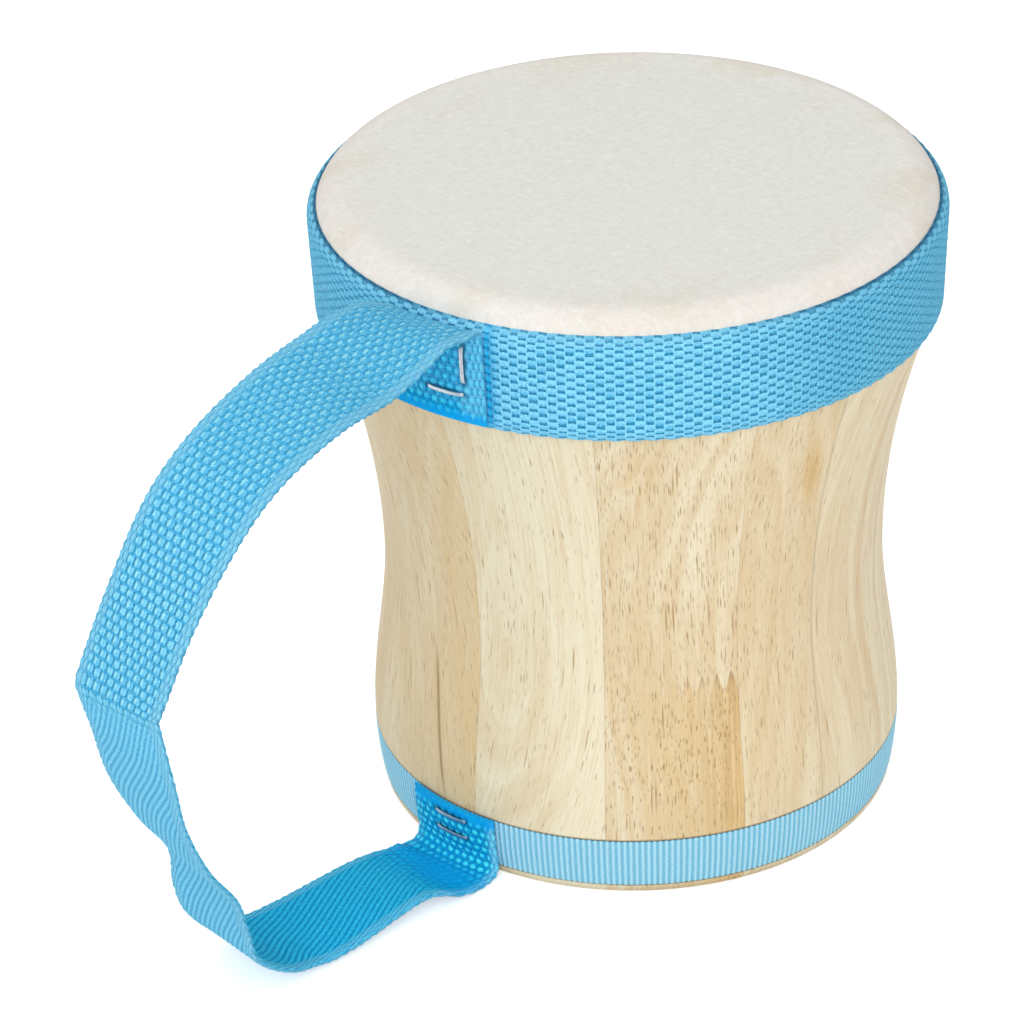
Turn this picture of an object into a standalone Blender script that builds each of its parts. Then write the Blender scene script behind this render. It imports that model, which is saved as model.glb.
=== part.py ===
"""Hand drum: a turned shell of glued staves, a hide head, a webbing rim band and a hand strap.

Metres, +Z up. The drum stands on z = 0 with its axis on Z, and the strap loop is on the -X side.
Angles round the drum start at the strap side and grow towards -Y.
"""

import math

import bmesh
import bpy
from mathutils import Matrix, Vector

# Clearance between pieces that touch, and between neighbouring staves
FIT_GAP = 0.0003
GLUE_LINE = 0.0003

# Shell of glued staves, turned to an hourglass
FOOT_RADIUS = 0.0601
BELLY_RADIUS = 0.0619
BELLY_HEIGHT = 0.0175
WAIST_RADIUS = 0.0580
WAIST_HEIGHT = 0.0600
SHOULDER_RADIUS = 0.0697
SHELL_WALL = 0.0085
EDGE_EASE = 0.0008
FIRST_GLUE_LINE = math.radians(2.6)

# Widths of the staves as sawn, in degrees of the ring, and of one facet of the turning
STAVE_WIDTHS = (30, 30, 20, 30, 35, 30, 30, 35, 30, 30, 30, 30)
FACET_WIDTH = 5

# Finger joint that lengthens one stave
FINGER_STAVE = 2
FINGER_HEIGHT = 0.0528
FINGER_DEPTH = 0.0055
FINGER_TEETH = 11

# Hide head, drawn over the rim, which swells to a rounded bead
HEAD_HEIGHT = 0.1531
HEAD_THICKNESS = 0.0009
HEAD_ROUNDING = 0.0072
HIDE_TUCK = 0.0006
BEAD_SWELL = 0.0008
BEAD_RISE = 0.0032

# Webbing band round the rim: it narrows a little under tension, and its top edge leans in over the bead
WEBBING_WIDTH = 0.0254
BAND_NARROWING = 0.0004
BAND_THICKNESS = 0.0012
BAND_DROP = 0.0042
BAND_FLARE = 0.0009
BAND_LEAN = 0.0007
SELVEDGE_EASE = 0.0005

# Grosgrain ribbon let into a groove round the foot
RIBBON_WIDTH = 0.0125
RIBBON_THICKNESS = 0.0005
RIBBON_PROUD = 0.0001
FOOT_LIP = 0.0019

# Staples: flat wire with a crown and two legs
WIRE_THICKNESS = 0.00045
WIRE_WIDTH = 0.0010
CROWN_LENGTH = 0.0098
CROWN_GAP = 0.00025
HIDE_STAPLE_LEG = 0.0050
STRAP_STAPLE_LEG = 0.0088
HIDE_STAPLE_DROP = 0.0098

# Hand strap: webbing stapled over the band at the top and over the ribbon at the foot
STRAP_THICKNESS = 0.0014
TOP_LAP_ANGLE = math.radians(4.0)
TOP_LAP_TUCK = 0.0012
TOP_FOLD_DROP = 0.0022
TOP_FOLD_RADIUS = 0.0018
BOTTOM_LAP_ANGLE = math.radians(-3.7)
BOTTOM_LAP_RISE = 0.0006
BOTTOM_BEND_RADIUS = 0.0035
BOTTOM_BEND_SLANT = math.radians(1.0)
FLOOR_CLEARANCE = 0.0003

# Strap staples: angle round the drum, and distance below the band's or the ribbon's top edge
UPRIGHT_STAPLE_ANGLE = math.radians(10.9)
UPRIGHT_STAPLE_DROP = 0.0087
LEVEL_STAPLE_ANGLE = math.radians(6.5)
LEVEL_STAPLE_DROP = 0.0167
FOOT_STAPLE_ANGLE = math.radians(-3.4)
FOOT_STAPLE_DROPS = (0.0019, 0.0065)

# Free run of the strap: its stand-off from the line between its two ends, and its sideways lean
STRAP_STANDOFF = 0.0980
STRAP_LEAN = 0.0100

# Stations along that run: shares of the stand-off, the lean and the height, and a twist in degrees
STRAP_UPPER_RUN = (
    (0.099, 0.50, 1.0141, -7),
    (0.192, 0.57, 1.0107, -17),
    (0.285, 0.59, 1.0020, -20),
    (0.454, 0.64, 0.9949, -14),
    (0.643, 0.57, 0.9552, -9),
    (0.779, 0.40, 0.8863, -6),
    (0.902, 0.14, 0.7746, 1),
)
STRAP_CREASE = (1.000, -0.21, 0.6430, 3)
STRAP_LOWER_RUN = (
    (0.977, -0.20, 0.5467, 6),
    (0.928, -0.50, 0.4350, 9),
    (0.856, -0.63, 0.3263, 12),
    (0.769, -0.78, 0.2346, 12),
    (0.743, -0.94, 0.1575, 7),
    (0.717, -0.99, 0.0976, 8),
    (0.629, -1.04, 0.0360, 3),
    (0.536, -1.08, 0.0125, 3),
    (0.432, -0.90, 0.0101, 2),
    (0.206, -0.59, 0.0215, -4),
    (0.099, -0.32, 0.0092, 4),
)
SECTIONS_PER_SPAN = 3
SECTION_POINTS = 5

# The loop swings on an upright axis a little inside its top end, and is parted on a circle round it
SWING_INSET = 0.00505
SWING_CUT_RADIUS = 0.0220

# Places that follow from the sizes above
TURN_FACETS = sum(STAVE_WIDTHS) // FACET_WIDTH
BAND_TOP = HEAD_HEIGHT - BAND_DROP
BAND_BOTTOM = BAND_TOP - WEBBING_WIDTH + BAND_NARROWING
SKIRT_BOTTOM = BAND_BOTTOM + HIDE_TUCK
SHOULDER_HEIGHT = SKIRT_BOTTOM - FIT_GAP
BEAD_TOP = HEAD_HEIGHT - HEAD_ROUNDING
BEAD_START = BEAD_TOP - BEAD_RISE
HEAD_RADIUS = SHOULDER_RADIUS + BEAD_SWELL
NECK_RADIUS = SHOULDER_RADIUS - HEAD_THICKNESS - FIT_GAP
RIM_RADIUS = HEAD_RADIUS - HEAD_THICKNESS - FIT_GAP
RIM_HEIGHT = HEAD_HEIGHT - HEAD_THICKNESS - FIT_GAP
RIM_ROUNDING = HEAD_ROUNDING - HEAD_THICKNESS - FIT_GAP
RIM_BORE = SHOULDER_RADIUS - SHELL_WALL
GROOVE_DEPTH = RIBBON_THICKNESS + FIT_GAP - RIBBON_PROUD
GROOVE_TOP = FOOT_LIP + RIBBON_WIDTH + 2 * FIT_GAP
RIBBON_BOTTOM = FOOT_LIP + FIT_GAP
RIBBON_TOP = RIBBON_BOTTOM + RIBBON_WIDTH
HALF_STRAP = STRAP_THICKNESS / 2
HALF_WIDTH = WEBBING_WIDTH / 2
TOP_LAP_BOTTOM = BAND_BOTTOM + TOP_LAP_TUCK
BOTTOM_LAP_TOP = RIBBON_TOP + BOTTOM_LAP_RISE
STRAP_FLOOR = FLOOR_CLEARANCE + HALF_STRAP
FOOT_BEND_START = STRAP_FLOOR + BOTTOM_BEND_RADIUS
TOP_FOLD_START = BAND_TOP - TOP_FOLD_DROP
STRAP_TOP = TOP_FOLD_START + TOP_FOLD_RADIUS

WOOD = (0.72, 0.53, 0.30)
PALE_WOOD = (0.78, 0.62, 0.40)
HIDE = (0.82, 0.79, 0.73)
WEBBING_BLUE = (0.12, 0.45, 0.80)
RIBBON_BLUE = (0.20, 0.52, 0.80)
STEEL = (0.72, 0.72, 0.73)


def around(radius, angle, height):
    """A point at this angle round the drum, measured from the strap side."""
    return Vector((-radius * math.cos(angle), -radius * math.sin(angle), height))


def outward(angle):
    return Vector((-math.cos(angle), -math.sin(angle), 0.0))


def sideways(angle):
    return Vector((math.sin(angle), -math.cos(angle), 0.0))


def shell_radius(height):
    """Outer radius of the bare turned shell: rounded foot, belly, waist, then a flare."""
    if height < BELLY_HEIGHT:
        rise = 1 - height / BELLY_HEIGHT
        return BELLY_RADIUS - (BELLY_RADIUS - FOOT_RADIUS) * rise * rise
    if height < WAIST_HEIGHT:
        share = (height - BELLY_HEIGHT) / (WAIST_HEIGHT - BELLY_HEIGHT)
        return BELLY_RADIUS + (WAIST_RADIUS - BELLY_RADIUS) * share * share * (3 - 2 * share)
    share = (height - WAIST_HEIGHT) / (SHOULDER_HEIGHT - WAIST_HEIGHT)
    return WAIST_RADIUS + (SHOULDER_RADIUS - WAIST_RADIUS) * share * share


def band_radius(height):
    """Outer radius of the rim band, which opens up to the bead and leans in over it."""
    flare = min((height - BAND_BOTTOM) / (BEAD_TOP - BAND_BOTTOM), 1.0)
    lean = max((height - BEAD_TOP) / (BAND_TOP - BEAD_TOP), 0.0)
    return SHOULDER_RADIUS + FIT_GAP + BAND_THICKNESS + BAND_FLARE * flare - BAND_LEAN * lean * lean


def ribbon_radius(height):
    return shell_radius(height) + RIBBON_PROUD


def top_lap_radius(height):
    return band_radius(height) + FIT_GAP + HALF_STRAP


def bottom_lap_radius(height):
    return ribbon_radius(min(height, RIBBON_TOP)) + FIT_GAP + HALF_STRAP


def spread(start, end, count):
    """Evenly spaced values from start to end, with both ends."""
    return [start + (end - start) * index / (count - 1) for index in range(count)]


def quarter_arc(centre_radius, centre_height, radius, count):
    """Points of a rounded edge from its side up to its top."""
    points = []
    for turn in spread(0.0, math.pi / 2, count):
        points.append((centre_radius + radius * math.cos(turn), centre_height + radius * math.sin(turn)))
    return points


def make_material(name, colour, roughness, metallic):
    material = bpy.data.materials.new(name)
    material.use_nodes = True
    shader = material.node_tree.nodes["Principled BSDF"]
    shader.inputs["Base Color"].default_value = (*colour, 1.0)
    shader.inputs["Roughness"].default_value = roughness
    shader.inputs["Metallic"].default_value = metallic
    return material


def add_object(name, mesh_data, look, origin=Vector((0, 0, 0))):
    """Closes the normals outward, and makes the named object with its own material."""
    bmesh.ops.recalc_face_normals(mesh_data, faces=mesh_data.faces)
    mesh = bpy.data.meshes.new(name)
    mesh_data.to_mesh(mesh)
    mesh_data.free()
    mesh.transform(Matrix.Translation(-origin))
    mesh.shade_smooth()
    mesh.set_sharp_from_angle(angle=math.radians(35))
    if look:
        mesh.materials.append(make_material(name, *look))
    piece = bpy.data.objects.new(name, mesh)
    piece.location = origin
    bpy.context.scene.collection.objects.link(piece)
    return piece


def add_cutter(name, mesh_data):
    cutter = add_object(name, mesh_data, None)
    cutter.hide_render = True
    cutter.display_type = "WIRE"
    return cutter


def cut(piece, cutter, operation="DIFFERENCE"):
    modifier = piece.modifiers.new(cutter.name, "BOOLEAN")
    modifier.operation = operation
    modifier.solver = "EXACT"
    modifier.object = cutter


def bridge(mesh_data, columns, closed):
    """Quads between neighbouring closed outlines, with caps unless the row of outlines is a ring."""
    size = len(columns[0])
    for index in range(len(columns) if closed else len(columns) - 1):
        first = columns[index]
        second = columns[(index + 1) % len(columns)]
        for step in range(size):
            after = (step + 1) % size
            mesh_data.faces.new((first[step], first[after], second[after], second[step]))
    if not closed:
        mesh_data.faces.new(columns[0])
        mesh_data.faces.new(reversed(columns[-1]))


def turned_ring(name, outline, look):
    """A closed outline of (radius, height) turned right round the axis."""
    mesh_data = bmesh.new()
    columns = []
    for index in range(TURN_FACETS):
        angle = FIRST_GLUE_LINE + math.tau * index / TURN_FACETS
        columns.append([mesh_data.verts.new(around(r, angle, z)) for r, z in outline])
    bridge(mesh_data, columns, closed=True)
    return add_object(name, mesh_data, look)


def prism(mesh_data, outline, offset):
    """A flat outline of points pushed along offset into a closed solid."""
    near = [mesh_data.verts.new(point) for point in outline]
    far = [mesh_data.verts.new(point + offset) for point in outline]
    bridge(mesh_data, [near, far], closed=False)


def shell_outline():
    """Cross-section of the shell wall: foot, ribbon groove, hourglass side, rim and bore."""
    points = [(FOOT_RADIUS - EDGE_EASE, 0.0)]
    points += [(shell_radius(z), z) for z in (EDGE_EASE, FOOT_LIP)]
    points += [(shell_radius(z) - GROOVE_DEPTH, z) for z in spread(FOOT_LIP, GROOVE_TOP, 3)]
    points += [(shell_radius(z), z) for z in spread(GROOVE_TOP, WAIST_HEIGHT, 6)]
    points += [(shell_radius(z), z) for z in spread(WAIST_HEIGHT, SHOULDER_HEIGHT, 8)[1:]]
    points += [(NECK_RADIUS, SHOULDER_HEIGHT), (NECK_RADIUS, BEAD_START)]
    points += quarter_arc(RIM_RADIUS - RIM_ROUNDING, RIM_HEIGHT - RIM_ROUNDING, RIM_ROUNDING, 5)
    points += [(RIM_BORE + EDGE_EASE, RIM_HEIGHT), (RIM_BORE, RIM_HEIGHT - EDGE_EASE)]
    points += [(shell_radius(z) - SHELL_WALL, z) for z in spread(SHOULDER_HEIGHT, WAIST_HEIGHT, 6)]
    points += [(shell_radius(z) - SHELL_WALL, z) for z in spread(WAIST_HEIGHT, EDGE_EASE, 5)[1:]]
    points += [(FOOT_RADIUS - SHELL_WALL + EDGE_EASE, 0.0)]
    return points


def stave_start(index):
    """Angle of the glue line where a stave starts."""
    return FIRST_GLUE_LINE + math.radians(sum(STAVE_WIDTHS[:index]))


def stave_middle(index):
    return (stave_start(index) + stave_start(index + 1)) / 2


def stave_mesh(index):
    """One stave between its two glue lines, with half a glue line left off each side."""
    mesh_data = bmesh.new()
    columns = []
    start = stave_start(index)
    width = math.radians(STAVE_WIDTHS[index])
    for share in spread(0.0, 1.0, STAVE_WIDTHS[index] // FACET_WIDTH + 1):
        column = []
        for radius, height in shell_outline():
            trim = math.asin(GLUE_LINE / 2 / radius)
            angle = start + trim + (width - 2 * trim) * share
            column.append(mesh_data.verts.new(around(radius, angle, height)))
        columns.append(column)
    bridge(mesh_data, columns, closed=False)
    return mesh_data


def finger_cutter(name, index, keep_above):
    """Zigzag block that takes away what lies under, or over, the finger joint of a stave."""
    middle = stave_middle(index)
    half = SHOULDER_RADIUS * math.tan(math.radians(STAVE_WIDTHS[index]) / 2)
    tooth = half / FINGER_TEETH
    steepness = math.hypot(FINGER_DEPTH, tooth) / tooth
    shift = FIT_GAP / 2 * steepness * (1 if keep_above else -1)
    far_edge = -HEAD_HEIGHT if keep_above else 2 * HEAD_HEIGHT
    zigzag = []
    for step in range(2 * FINGER_TEETH + 1):
        rise = FINGER_DEPTH / 2 * (1 if step % 2 else -1)
        zigzag.append((-half + step * tooth, FINGER_HEIGHT + rise + shift))
    corners = [(-half, far_edge)] + zigzag + [(half, far_edge)]
    base = outward(middle) * (WAIST_RADIUS - 2 * SHELL_WALL)
    side = sideways(middle)
    outline = [base + side * s + Vector((0, 0, z)) for s, z in corners]
    mesh_data = bmesh.new()
    prism(mesh_data, outline, outward(middle) * (SHOULDER_RADIUS - WAIST_RADIUS + 4 * SHELL_WALL))
    return add_cutter(name, mesh_data)


def make_shell():
    """Twelve staves, of which one is lengthened at the foot with a finger joint."""
    staves = []
    for index in range(len(STAVE_WIDTHS)):
        name = f"shell_stave_{index + 1:02d}"
        colour = WOOD if index % 3 else PALE_WOOD
        stave = add_object(name, stave_mesh(index), (colour, 0.55, 0.0))
        staves.append(stave)
        if index + 1 == FINGER_STAVE:
            foot = add_object(name + "_foot", stave_mesh(index), (PALE_WOOD, 0.55, 0.0))
            cut(stave, finger_cutter("finger_cutter_under", index, keep_above=True))
            cut(foot, finger_cutter("finger_cutter_over", index, keep_above=False))
            staves.append(foot)
    return staves


def make_head():
    """Hide disc that rounds over the rim and runs down behind the band."""
    centre_radius = HEAD_RADIUS - HEAD_ROUNDING
    centre_height = HEAD_HEIGHT - HEAD_ROUNDING
    outer = quarter_arc(centre_radius, centre_height, HEAD_ROUNDING, 5)
    inner = quarter_arc(centre_radius, centre_height, HEAD_ROUNDING - HEAD_THICKNESS, 5)
    outline = [(SHOULDER_RADIUS, z) for z in (SKIRT_BOTTOM, BEAD_START)] + outer
    inside = [(SHOULDER_RADIUS - HEAD_THICKNESS, z) for z in (SKIRT_BOTTOM, BEAD_START)] + inner
    mesh_data = bmesh.new()
    rings = []
    for profile in (outline, inside):
        for radius, height in profile:
            ring = []
            for index in range(TURN_FACETS):
                angle = FIRST_GLUE_LINE + math.tau * index / TURN_FACETS
                ring.append(mesh_data.verts.new(around(radius, angle, height)))
            rings.append(ring)
    size = len(outline)
    joined = [(i, i + 1) for i in range(size - 1)]
    joined += [(size + i, size + i + 1) for i in range(size - 1)]
    joined.append((0, size))
    for low, high in joined:
        for index in range(TURN_FACETS):
            after = (index + 1) % TURN_FACETS
            corners = (rings[low][index], rings[low][after], rings[high][after], rings[high][index])
            mesh_data.faces.new(corners)
    mesh_data.faces.new(rings[size - 1])
    mesh_data.faces.new(rings[-1])
    return add_object("drumhead", mesh_data, (HIDE, 0.85, 0.0))


def make_rim_band():
    outline = [(band_radius(z), z) for z in (BAND_BOTTOM, BEAD_TOP, BAND_TOP - SELVEDGE_EASE)]
    outline += [(band_radius(BAND_TOP) - SELVEDGE_EASE, BAND_TOP)]
    outline += [(band_radius(z) - BAND_THICKNESS, z) for z in (BAND_TOP, BEAD_TOP, BAND_BOTTOM)]
    return turned_ring("rim_band", outline, (WEBBING_BLUE, 0.6, 0.0))


def make_base_ribbon():
    heights = spread(RIBBON_BOTTOM, RIBBON_TOP, 4)
    outline = [(ribbon_radius(z), z) for z in heights]
    outline += [(ribbon_radius(z) - RIBBON_THICKNESS, z) for z in reversed(heights)]
    return turned_ring("base_ribbon", outline, (RIBBON_BLUE, 0.55, 0.0))


def smooth_through(points, spacing):
    """A smooth curve through the points, as evenly split spans that start and end on them."""
    padded = [2 * points[0] - points[1]] + points + [2 * points[-1] - points[-2]]
    curve = []
    for before, here, there, after in zip(padded, padded[1:], padded[2:], padded[3:]):
        leaving = (there - before) / 2
        arriving = (after - here) / 2
        for step in range(spacing):
            t = step / spacing
            travel = (there - here) * (3 - 2 * t) * t * t
            curve.append(here + travel + leaving * t * (1 - t) ** 2 - arriving * t * t * (1 - t))
    curve.append(points[-1])
    return curve


def lap_section(angle, radius, height, lean):
    """Strap section that lies round the drum: its points and the way its thickness faces."""
    section = []
    for share in spread(-1.0, 1.0, SECTION_POINTS):
        place = angle + share * HALF_WIDTH / radius
        facing = outward(place) * math.cos(lean) - Vector((0, 0, math.sin(lean)))
        section.append((around(radius, place, height), facing))
    return section


def drum_station(reach, angle, height):
    """An untwisted strap station at this angle and distance from the drum's axis."""
    return Vector((reach * math.cos(angle), reach * math.sin(angle), height, 0.0))


def loop_station(standoff_share, lean_share, height_share, twist):
    """A strap station out on the loop, placed from the line between the two stapled ends."""
    foot_radius = bottom_lap_radius(FOOT_BEND_START)
    end_radius = foot_radius + (top_lap_radius(TOP_FOLD_START) - foot_radius) * height_share
    height = STRAP_FLOOR + (STRAP_TOP - STRAP_FLOOR) * height_share
    reach = end_radius + STRAP_STANDOFF * standoff_share
    return Vector((reach, STRAP_LEAN * lean_share, height, twist))


def free_sections(stations):
    """Flat strap sections along a smooth run of (reach, side, height, twist) stations."""
    route = smooth_through(stations, SECTIONS_PER_SPAN)
    middles = [Vector((-p[0], -p[1], p[2])) for p in route]
    sections = []
    for index, middle in enumerate(middles):
        ahead = middles[min(index + 1, len(middles) - 1)]
        behind = middles[max(index - 1, 0)]
        along = (ahead - behind).normalized()
        front = Vector((0, -1, 0))
        across = (front - along * front.dot(along)).normalized()
        across = Matrix.Rotation(math.radians(route[index][3]), 3, along) @ across
        facing = across.cross(along)
        shares = spread(-1.0, 1.0, SECTION_POINTS)
        sections.append([(middle + across * HALF_WIDTH * share, facing) for share in shares])
    return sections


def strap_sections():
    """All sections of the strap, from the stapled top end round the loop to the stapled foot end."""
    top_radius = top_lap_radius(TOP_FOLD_START)
    foot_radius = bottom_lap_radius(FOOT_BEND_START)
    sections = []
    for height in spread(TOP_LAP_BOTTOM, TOP_FOLD_START, 4):
        sections.append(lap_section(TOP_LAP_ANGLE, top_lap_radius(height), height, 0.0))
    for lean in spread(0.0, math.pi / 2, 5)[1:]:
        radius = top_radius + TOP_FOLD_RADIUS * (1 - math.cos(lean))
        height = TOP_FOLD_START + TOP_FOLD_RADIUS * math.sin(lean)
        sections.append(lap_section(TOP_LAP_ANGLE, radius, height, lean))
    crease = loop_station(*STRAP_CREASE)
    upper = [drum_station(top_radius + TOP_FOLD_RADIUS, TOP_LAP_ANGLE, STRAP_TOP)]
    upper += [loop_station(*station) for station in STRAP_UPPER_RUN] + [crease]
    sections += free_sections(upper)[1:-1]
    lower = [crease] + [loop_station(*station) for station in STRAP_LOWER_RUN]
    landing = BOTTOM_LAP_ANGLE + BOTTOM_BEND_SLANT
    lower.append(drum_station(foot_radius + BOTTOM_BEND_RADIUS, landing, STRAP_FLOOR))
    sections += free_sections(lower)[:-1]
    for lean in spread(math.pi / 2, 0.0, 5)[:-1]:
        radius = foot_radius + BOTTOM_BEND_RADIUS * (1 - math.cos(lean))
        height = FOOT_BEND_START - BOTTOM_BEND_RADIUS * math.sin(lean)
        angle = BOTTOM_LAP_ANGLE + BOTTOM_BEND_SLANT * math.sin(lean)
        sections.append(lap_section(angle, radius, height, -lean))
    for height in spread(FOOT_BEND_START, BOTTOM_LAP_TOP, 3):
        sections.append(lap_section(BOTTOM_LAP_ANGLE, bottom_lap_radius(height), height, 0.0))
    return sections


def strap_mesh(sections):
    mesh_data = bmesh.new()
    columns = []
    for section in sections:
        outer = [point + facing * HALF_STRAP for point, facing in section]
        inner = [point - facing * HALF_STRAP for point, facing in reversed(section)]
        columns.append([mesh_data.verts.new(point) for point in outer + inner])
    bridge(mesh_data, columns, closed=False)
    return mesh_data


def swing_reach():
    """Distance of the swing axis from the drum's axis."""
    return top_lap_radius(TOP_FOLD_START) - SWING_INSET


def swing_cutter(name, radius):
    """Upright drum round the swing axis, which parts the loop from its stapled ends."""
    mesh_data = bmesh.new()
    height = 2 * HEAD_HEIGHT
    place = Matrix.Translation((-swing_reach(), 0, HEAD_HEIGHT / 2))
    bmesh.ops.create_cone(
        mesh_data, cap_ends=True, segments=64, radius1=radius, radius2=radius, depth=height, matrix=place
    )
    return add_cutter(name, mesh_data)


def make_strap():
    """The stapled top end, the swinging loop and the stapled foot end, parted round the swing axis."""
    sections = strap_sections()
    cut_reach = swing_reach() + SWING_CUT_RADIUS
    reach = [-section[SECTION_POINTS // 2][0].x for section in sections]
    beyond = [index for index, value in enumerate(reach) if value > cut_reach]
    first = beyond[0]
    last = beyond[-1]
    margin = SECTIONS_PER_SPAN
    fixed_cutter = swing_cutter("swing_cutter_fixed", SWING_CUT_RADIUS - FIT_GAP / 2)
    loop_cutter = swing_cutter("swing_cutter_loop", SWING_CUT_RADIUS + FIT_GAP / 2)
    look = (WEBBING_BLUE, 0.6, 0.0)
    top = add_object("strap_top_lap", strap_mesh(sections[:first + margin]), look)
    cut(top, fixed_cutter, "INTERSECT")
    axis = Vector((-swing_reach(), 0, 0))
    loop = add_object("strap_loop", strap_mesh(sections[first - 2 * margin:last + 2 * margin]), look, axis)
    cut(loop, loop_cutter)
    bottom = add_object("strap_bottom_lap", strap_mesh(sections[last + 1 - margin:]), look)
    cut(bottom, fixed_cutter, "INTERSECT")
    return top, loop, bottom


def staple_frame(angle, upright, slope):
    """Directions along the crown, out of the drum and across the wire."""
    out = outward(angle)
    if not upright:
        return sideways(angle), out, Vector((0, 0, 1))
    along = (Vector((0, 0, 1)) + out * slope).normalized()
    across = sideways(angle)
    return along, across.cross(along) * (1 if across.cross(along).dot(out) > 0 else -1), across


def make_staple(name, angle, height, seat_radius, upright, slope, leg, leg_cuts):
    """U of flat wire whose crown lies round, or up, the drum, with chisel points on its legs."""
    half = CROWN_LENGTH / 2
    inside = half - WIRE_THICKNESS
    low = seat_radius + CROWN_GAP
    along, out, across = staple_frame(angle, upright, slope)
    origin = around(low, angle, height)

    def crown_rise(s, lift):
        radius = low + lift
        return lift if upright else math.sqrt(radius * radius - s * s) - low

    outline = [(s, crown_rise(s, WIRE_THICKNESS)) for s in spread(-half, half, 5)]
    outline += [(half, -leg), (inside, -leg + WIRE_THICKNESS)]
    outline += [(s, crown_rise(s, 0.0)) for s in spread(inside, -inside, 4)]
    outline += [(-inside, -leg + WIRE_THICKNESS), (-half, -leg)]
    points = [origin + along * s + out * d - across * WIRE_WIDTH / 2 for s, d in outline]
    mesh_data = bmesh.new()
    prism(mesh_data, points, across * WIRE_WIDTH)
    add_object(name, mesh_data, (STEEL, 0.3, 1.0))
    for side in (-1, 1):
        near = side * (inside - FIT_GAP)
        far = side * (half + FIT_GAP)
        top = WIRE_THICKNESS / 2
        tip = -leg - FIT_GAP
        corners = [(near, top), (far, top), (far, tip), (near, tip)]
        wide = across * (WIRE_WIDTH + 2 * FIT_GAP)
        prism(leg_cuts, [origin + along * s + out * d - wide / 2 for s, d in corners], wide)


def make_staples(leg_cuts):
    """Staples that hold the hide under the band, and the strap's two ends."""
    hide_height = BAND_TOP - HIDE_STAPLE_DROP
    for index in range(len(STAVE_WIDTHS)):
        angle = stave_middle(index)
        name = f"hide_staple_{index + 1:02d}"
        make_staple(name, angle, hide_height, SHOULDER_RADIUS, False, 0.0, HIDE_STAPLE_LEG, leg_cuts)
    slope = BAND_FLARE / (BEAD_TOP - BAND_BOTTOM)
    top_staples = (
        (UPRIGHT_STAPLE_ANGLE, UPRIGHT_STAPLE_DROP, True),
        (LEVEL_STAPLE_ANGLE, LEVEL_STAPLE_DROP, False),
    )
    for index, (angle, drop, upright) in enumerate(top_staples):
        height = BAND_TOP - drop
        seat = top_lap_radius(height) + HALF_STRAP
        name = f"strap_top_staple_{index + 1}"
        make_staple(name, angle, height, seat, upright, slope, STRAP_STAPLE_LEG, leg_cuts)
    for index, drop in enumerate(FOOT_STAPLE_DROPS):
        height = RIBBON_TOP - drop
        seat = bottom_lap_radius(height) + HALF_STRAP
        name = f"strap_bottom_staple_{index + 1}"
        make_staple(name, FOOT_STAPLE_ANGLE, height, seat, False, 0.0, STRAP_STAPLE_LEG, leg_cuts)


for leftover in list(bpy.data.objects):
    bpy.data.objects.remove(leftover, do_unlink=True)

stapled = make_shell()
stapled.append(make_head())
stapled.append(make_rim_band())
stapled.append(make_base_ribbon())
top_lap, strap_loop, bottom_lap = make_strap()
stapled += [top_lap, bottom_lap]
staple_holes = bmesh.new()
make_staples(staple_holes)
leg_cutter = add_cutter("staple_leg_cutter", staple_holes)
for stapled_piece in stapled:
    cut(stapled_piece, leg_cutter)
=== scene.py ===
"""Looks of the hand drum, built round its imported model: wood, hide, woven webbing, ribbon and staples."""

import math

import bmesh
import bpy
import numpy as np
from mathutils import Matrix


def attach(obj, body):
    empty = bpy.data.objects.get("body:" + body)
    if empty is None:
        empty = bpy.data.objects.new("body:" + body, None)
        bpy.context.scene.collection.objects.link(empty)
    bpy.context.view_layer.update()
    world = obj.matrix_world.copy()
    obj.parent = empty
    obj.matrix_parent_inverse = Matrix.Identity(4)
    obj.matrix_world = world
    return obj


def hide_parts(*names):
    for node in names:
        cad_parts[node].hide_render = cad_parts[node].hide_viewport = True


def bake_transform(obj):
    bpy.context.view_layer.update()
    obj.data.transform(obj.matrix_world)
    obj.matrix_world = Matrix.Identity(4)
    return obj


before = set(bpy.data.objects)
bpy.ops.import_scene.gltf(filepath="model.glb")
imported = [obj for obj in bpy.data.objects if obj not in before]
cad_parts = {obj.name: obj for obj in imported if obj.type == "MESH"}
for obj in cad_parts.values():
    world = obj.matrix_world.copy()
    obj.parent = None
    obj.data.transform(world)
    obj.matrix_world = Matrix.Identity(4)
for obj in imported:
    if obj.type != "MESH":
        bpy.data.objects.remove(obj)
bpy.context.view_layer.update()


# Staves of the shell
# Twelve rubberwood staves are glued into a ring, and the ring is turned to an hourglass and lacquered.
# One stave is made up at the foot from a second, honey-coloured length, held by a finger joint.

FOOT_RADIUS = 0.0601
BELLY_RADIUS = 0.0619
BELLY_HEIGHT = 0.0175
WAIST_RADIUS = 0.0580
WAIST_HEIGHT = 0.0600
SHOULDER_RADIUS = 0.0697
SHOULDER_HEIGHT = 0.1242
SHELL_WALL = 0.0085
NECK_RADIUS = 0.0685
BEAD_START = 0.1427
RIM_RADIUS = 0.0693
RIM_HEIGHT = 0.1519
RIM_ROUNDING = 0.0060
EDGE_EASE = 0.0008
FOOT_LIP = 0.0019
GROOVE_TOP = 0.0150
GROOVE_DEPTH = 0.0007
GROOVE_EDGE = 0.0005
GROOVE_STEPS = 6
FACE_STEPS = 72
RIM_STEPS = 8
BORE_STEPS = 30
GLUE_LINE = 0.00005
STAVE_WIDTHS = (30, 30, 20, 30, 35, 30, 30, 35, 30, 30, 30, 30)
FIRST_GLUE_LINE = math.radians(2.6)
STAVE_COLUMNS = 40
FINGER_STAVE = 1
FINGER_HEIGHT = 0.0528
FINGER_DEPTH = 0.0055
FINGER_TEETH = 11
TOOTH_MARGIN = 0.0004

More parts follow.
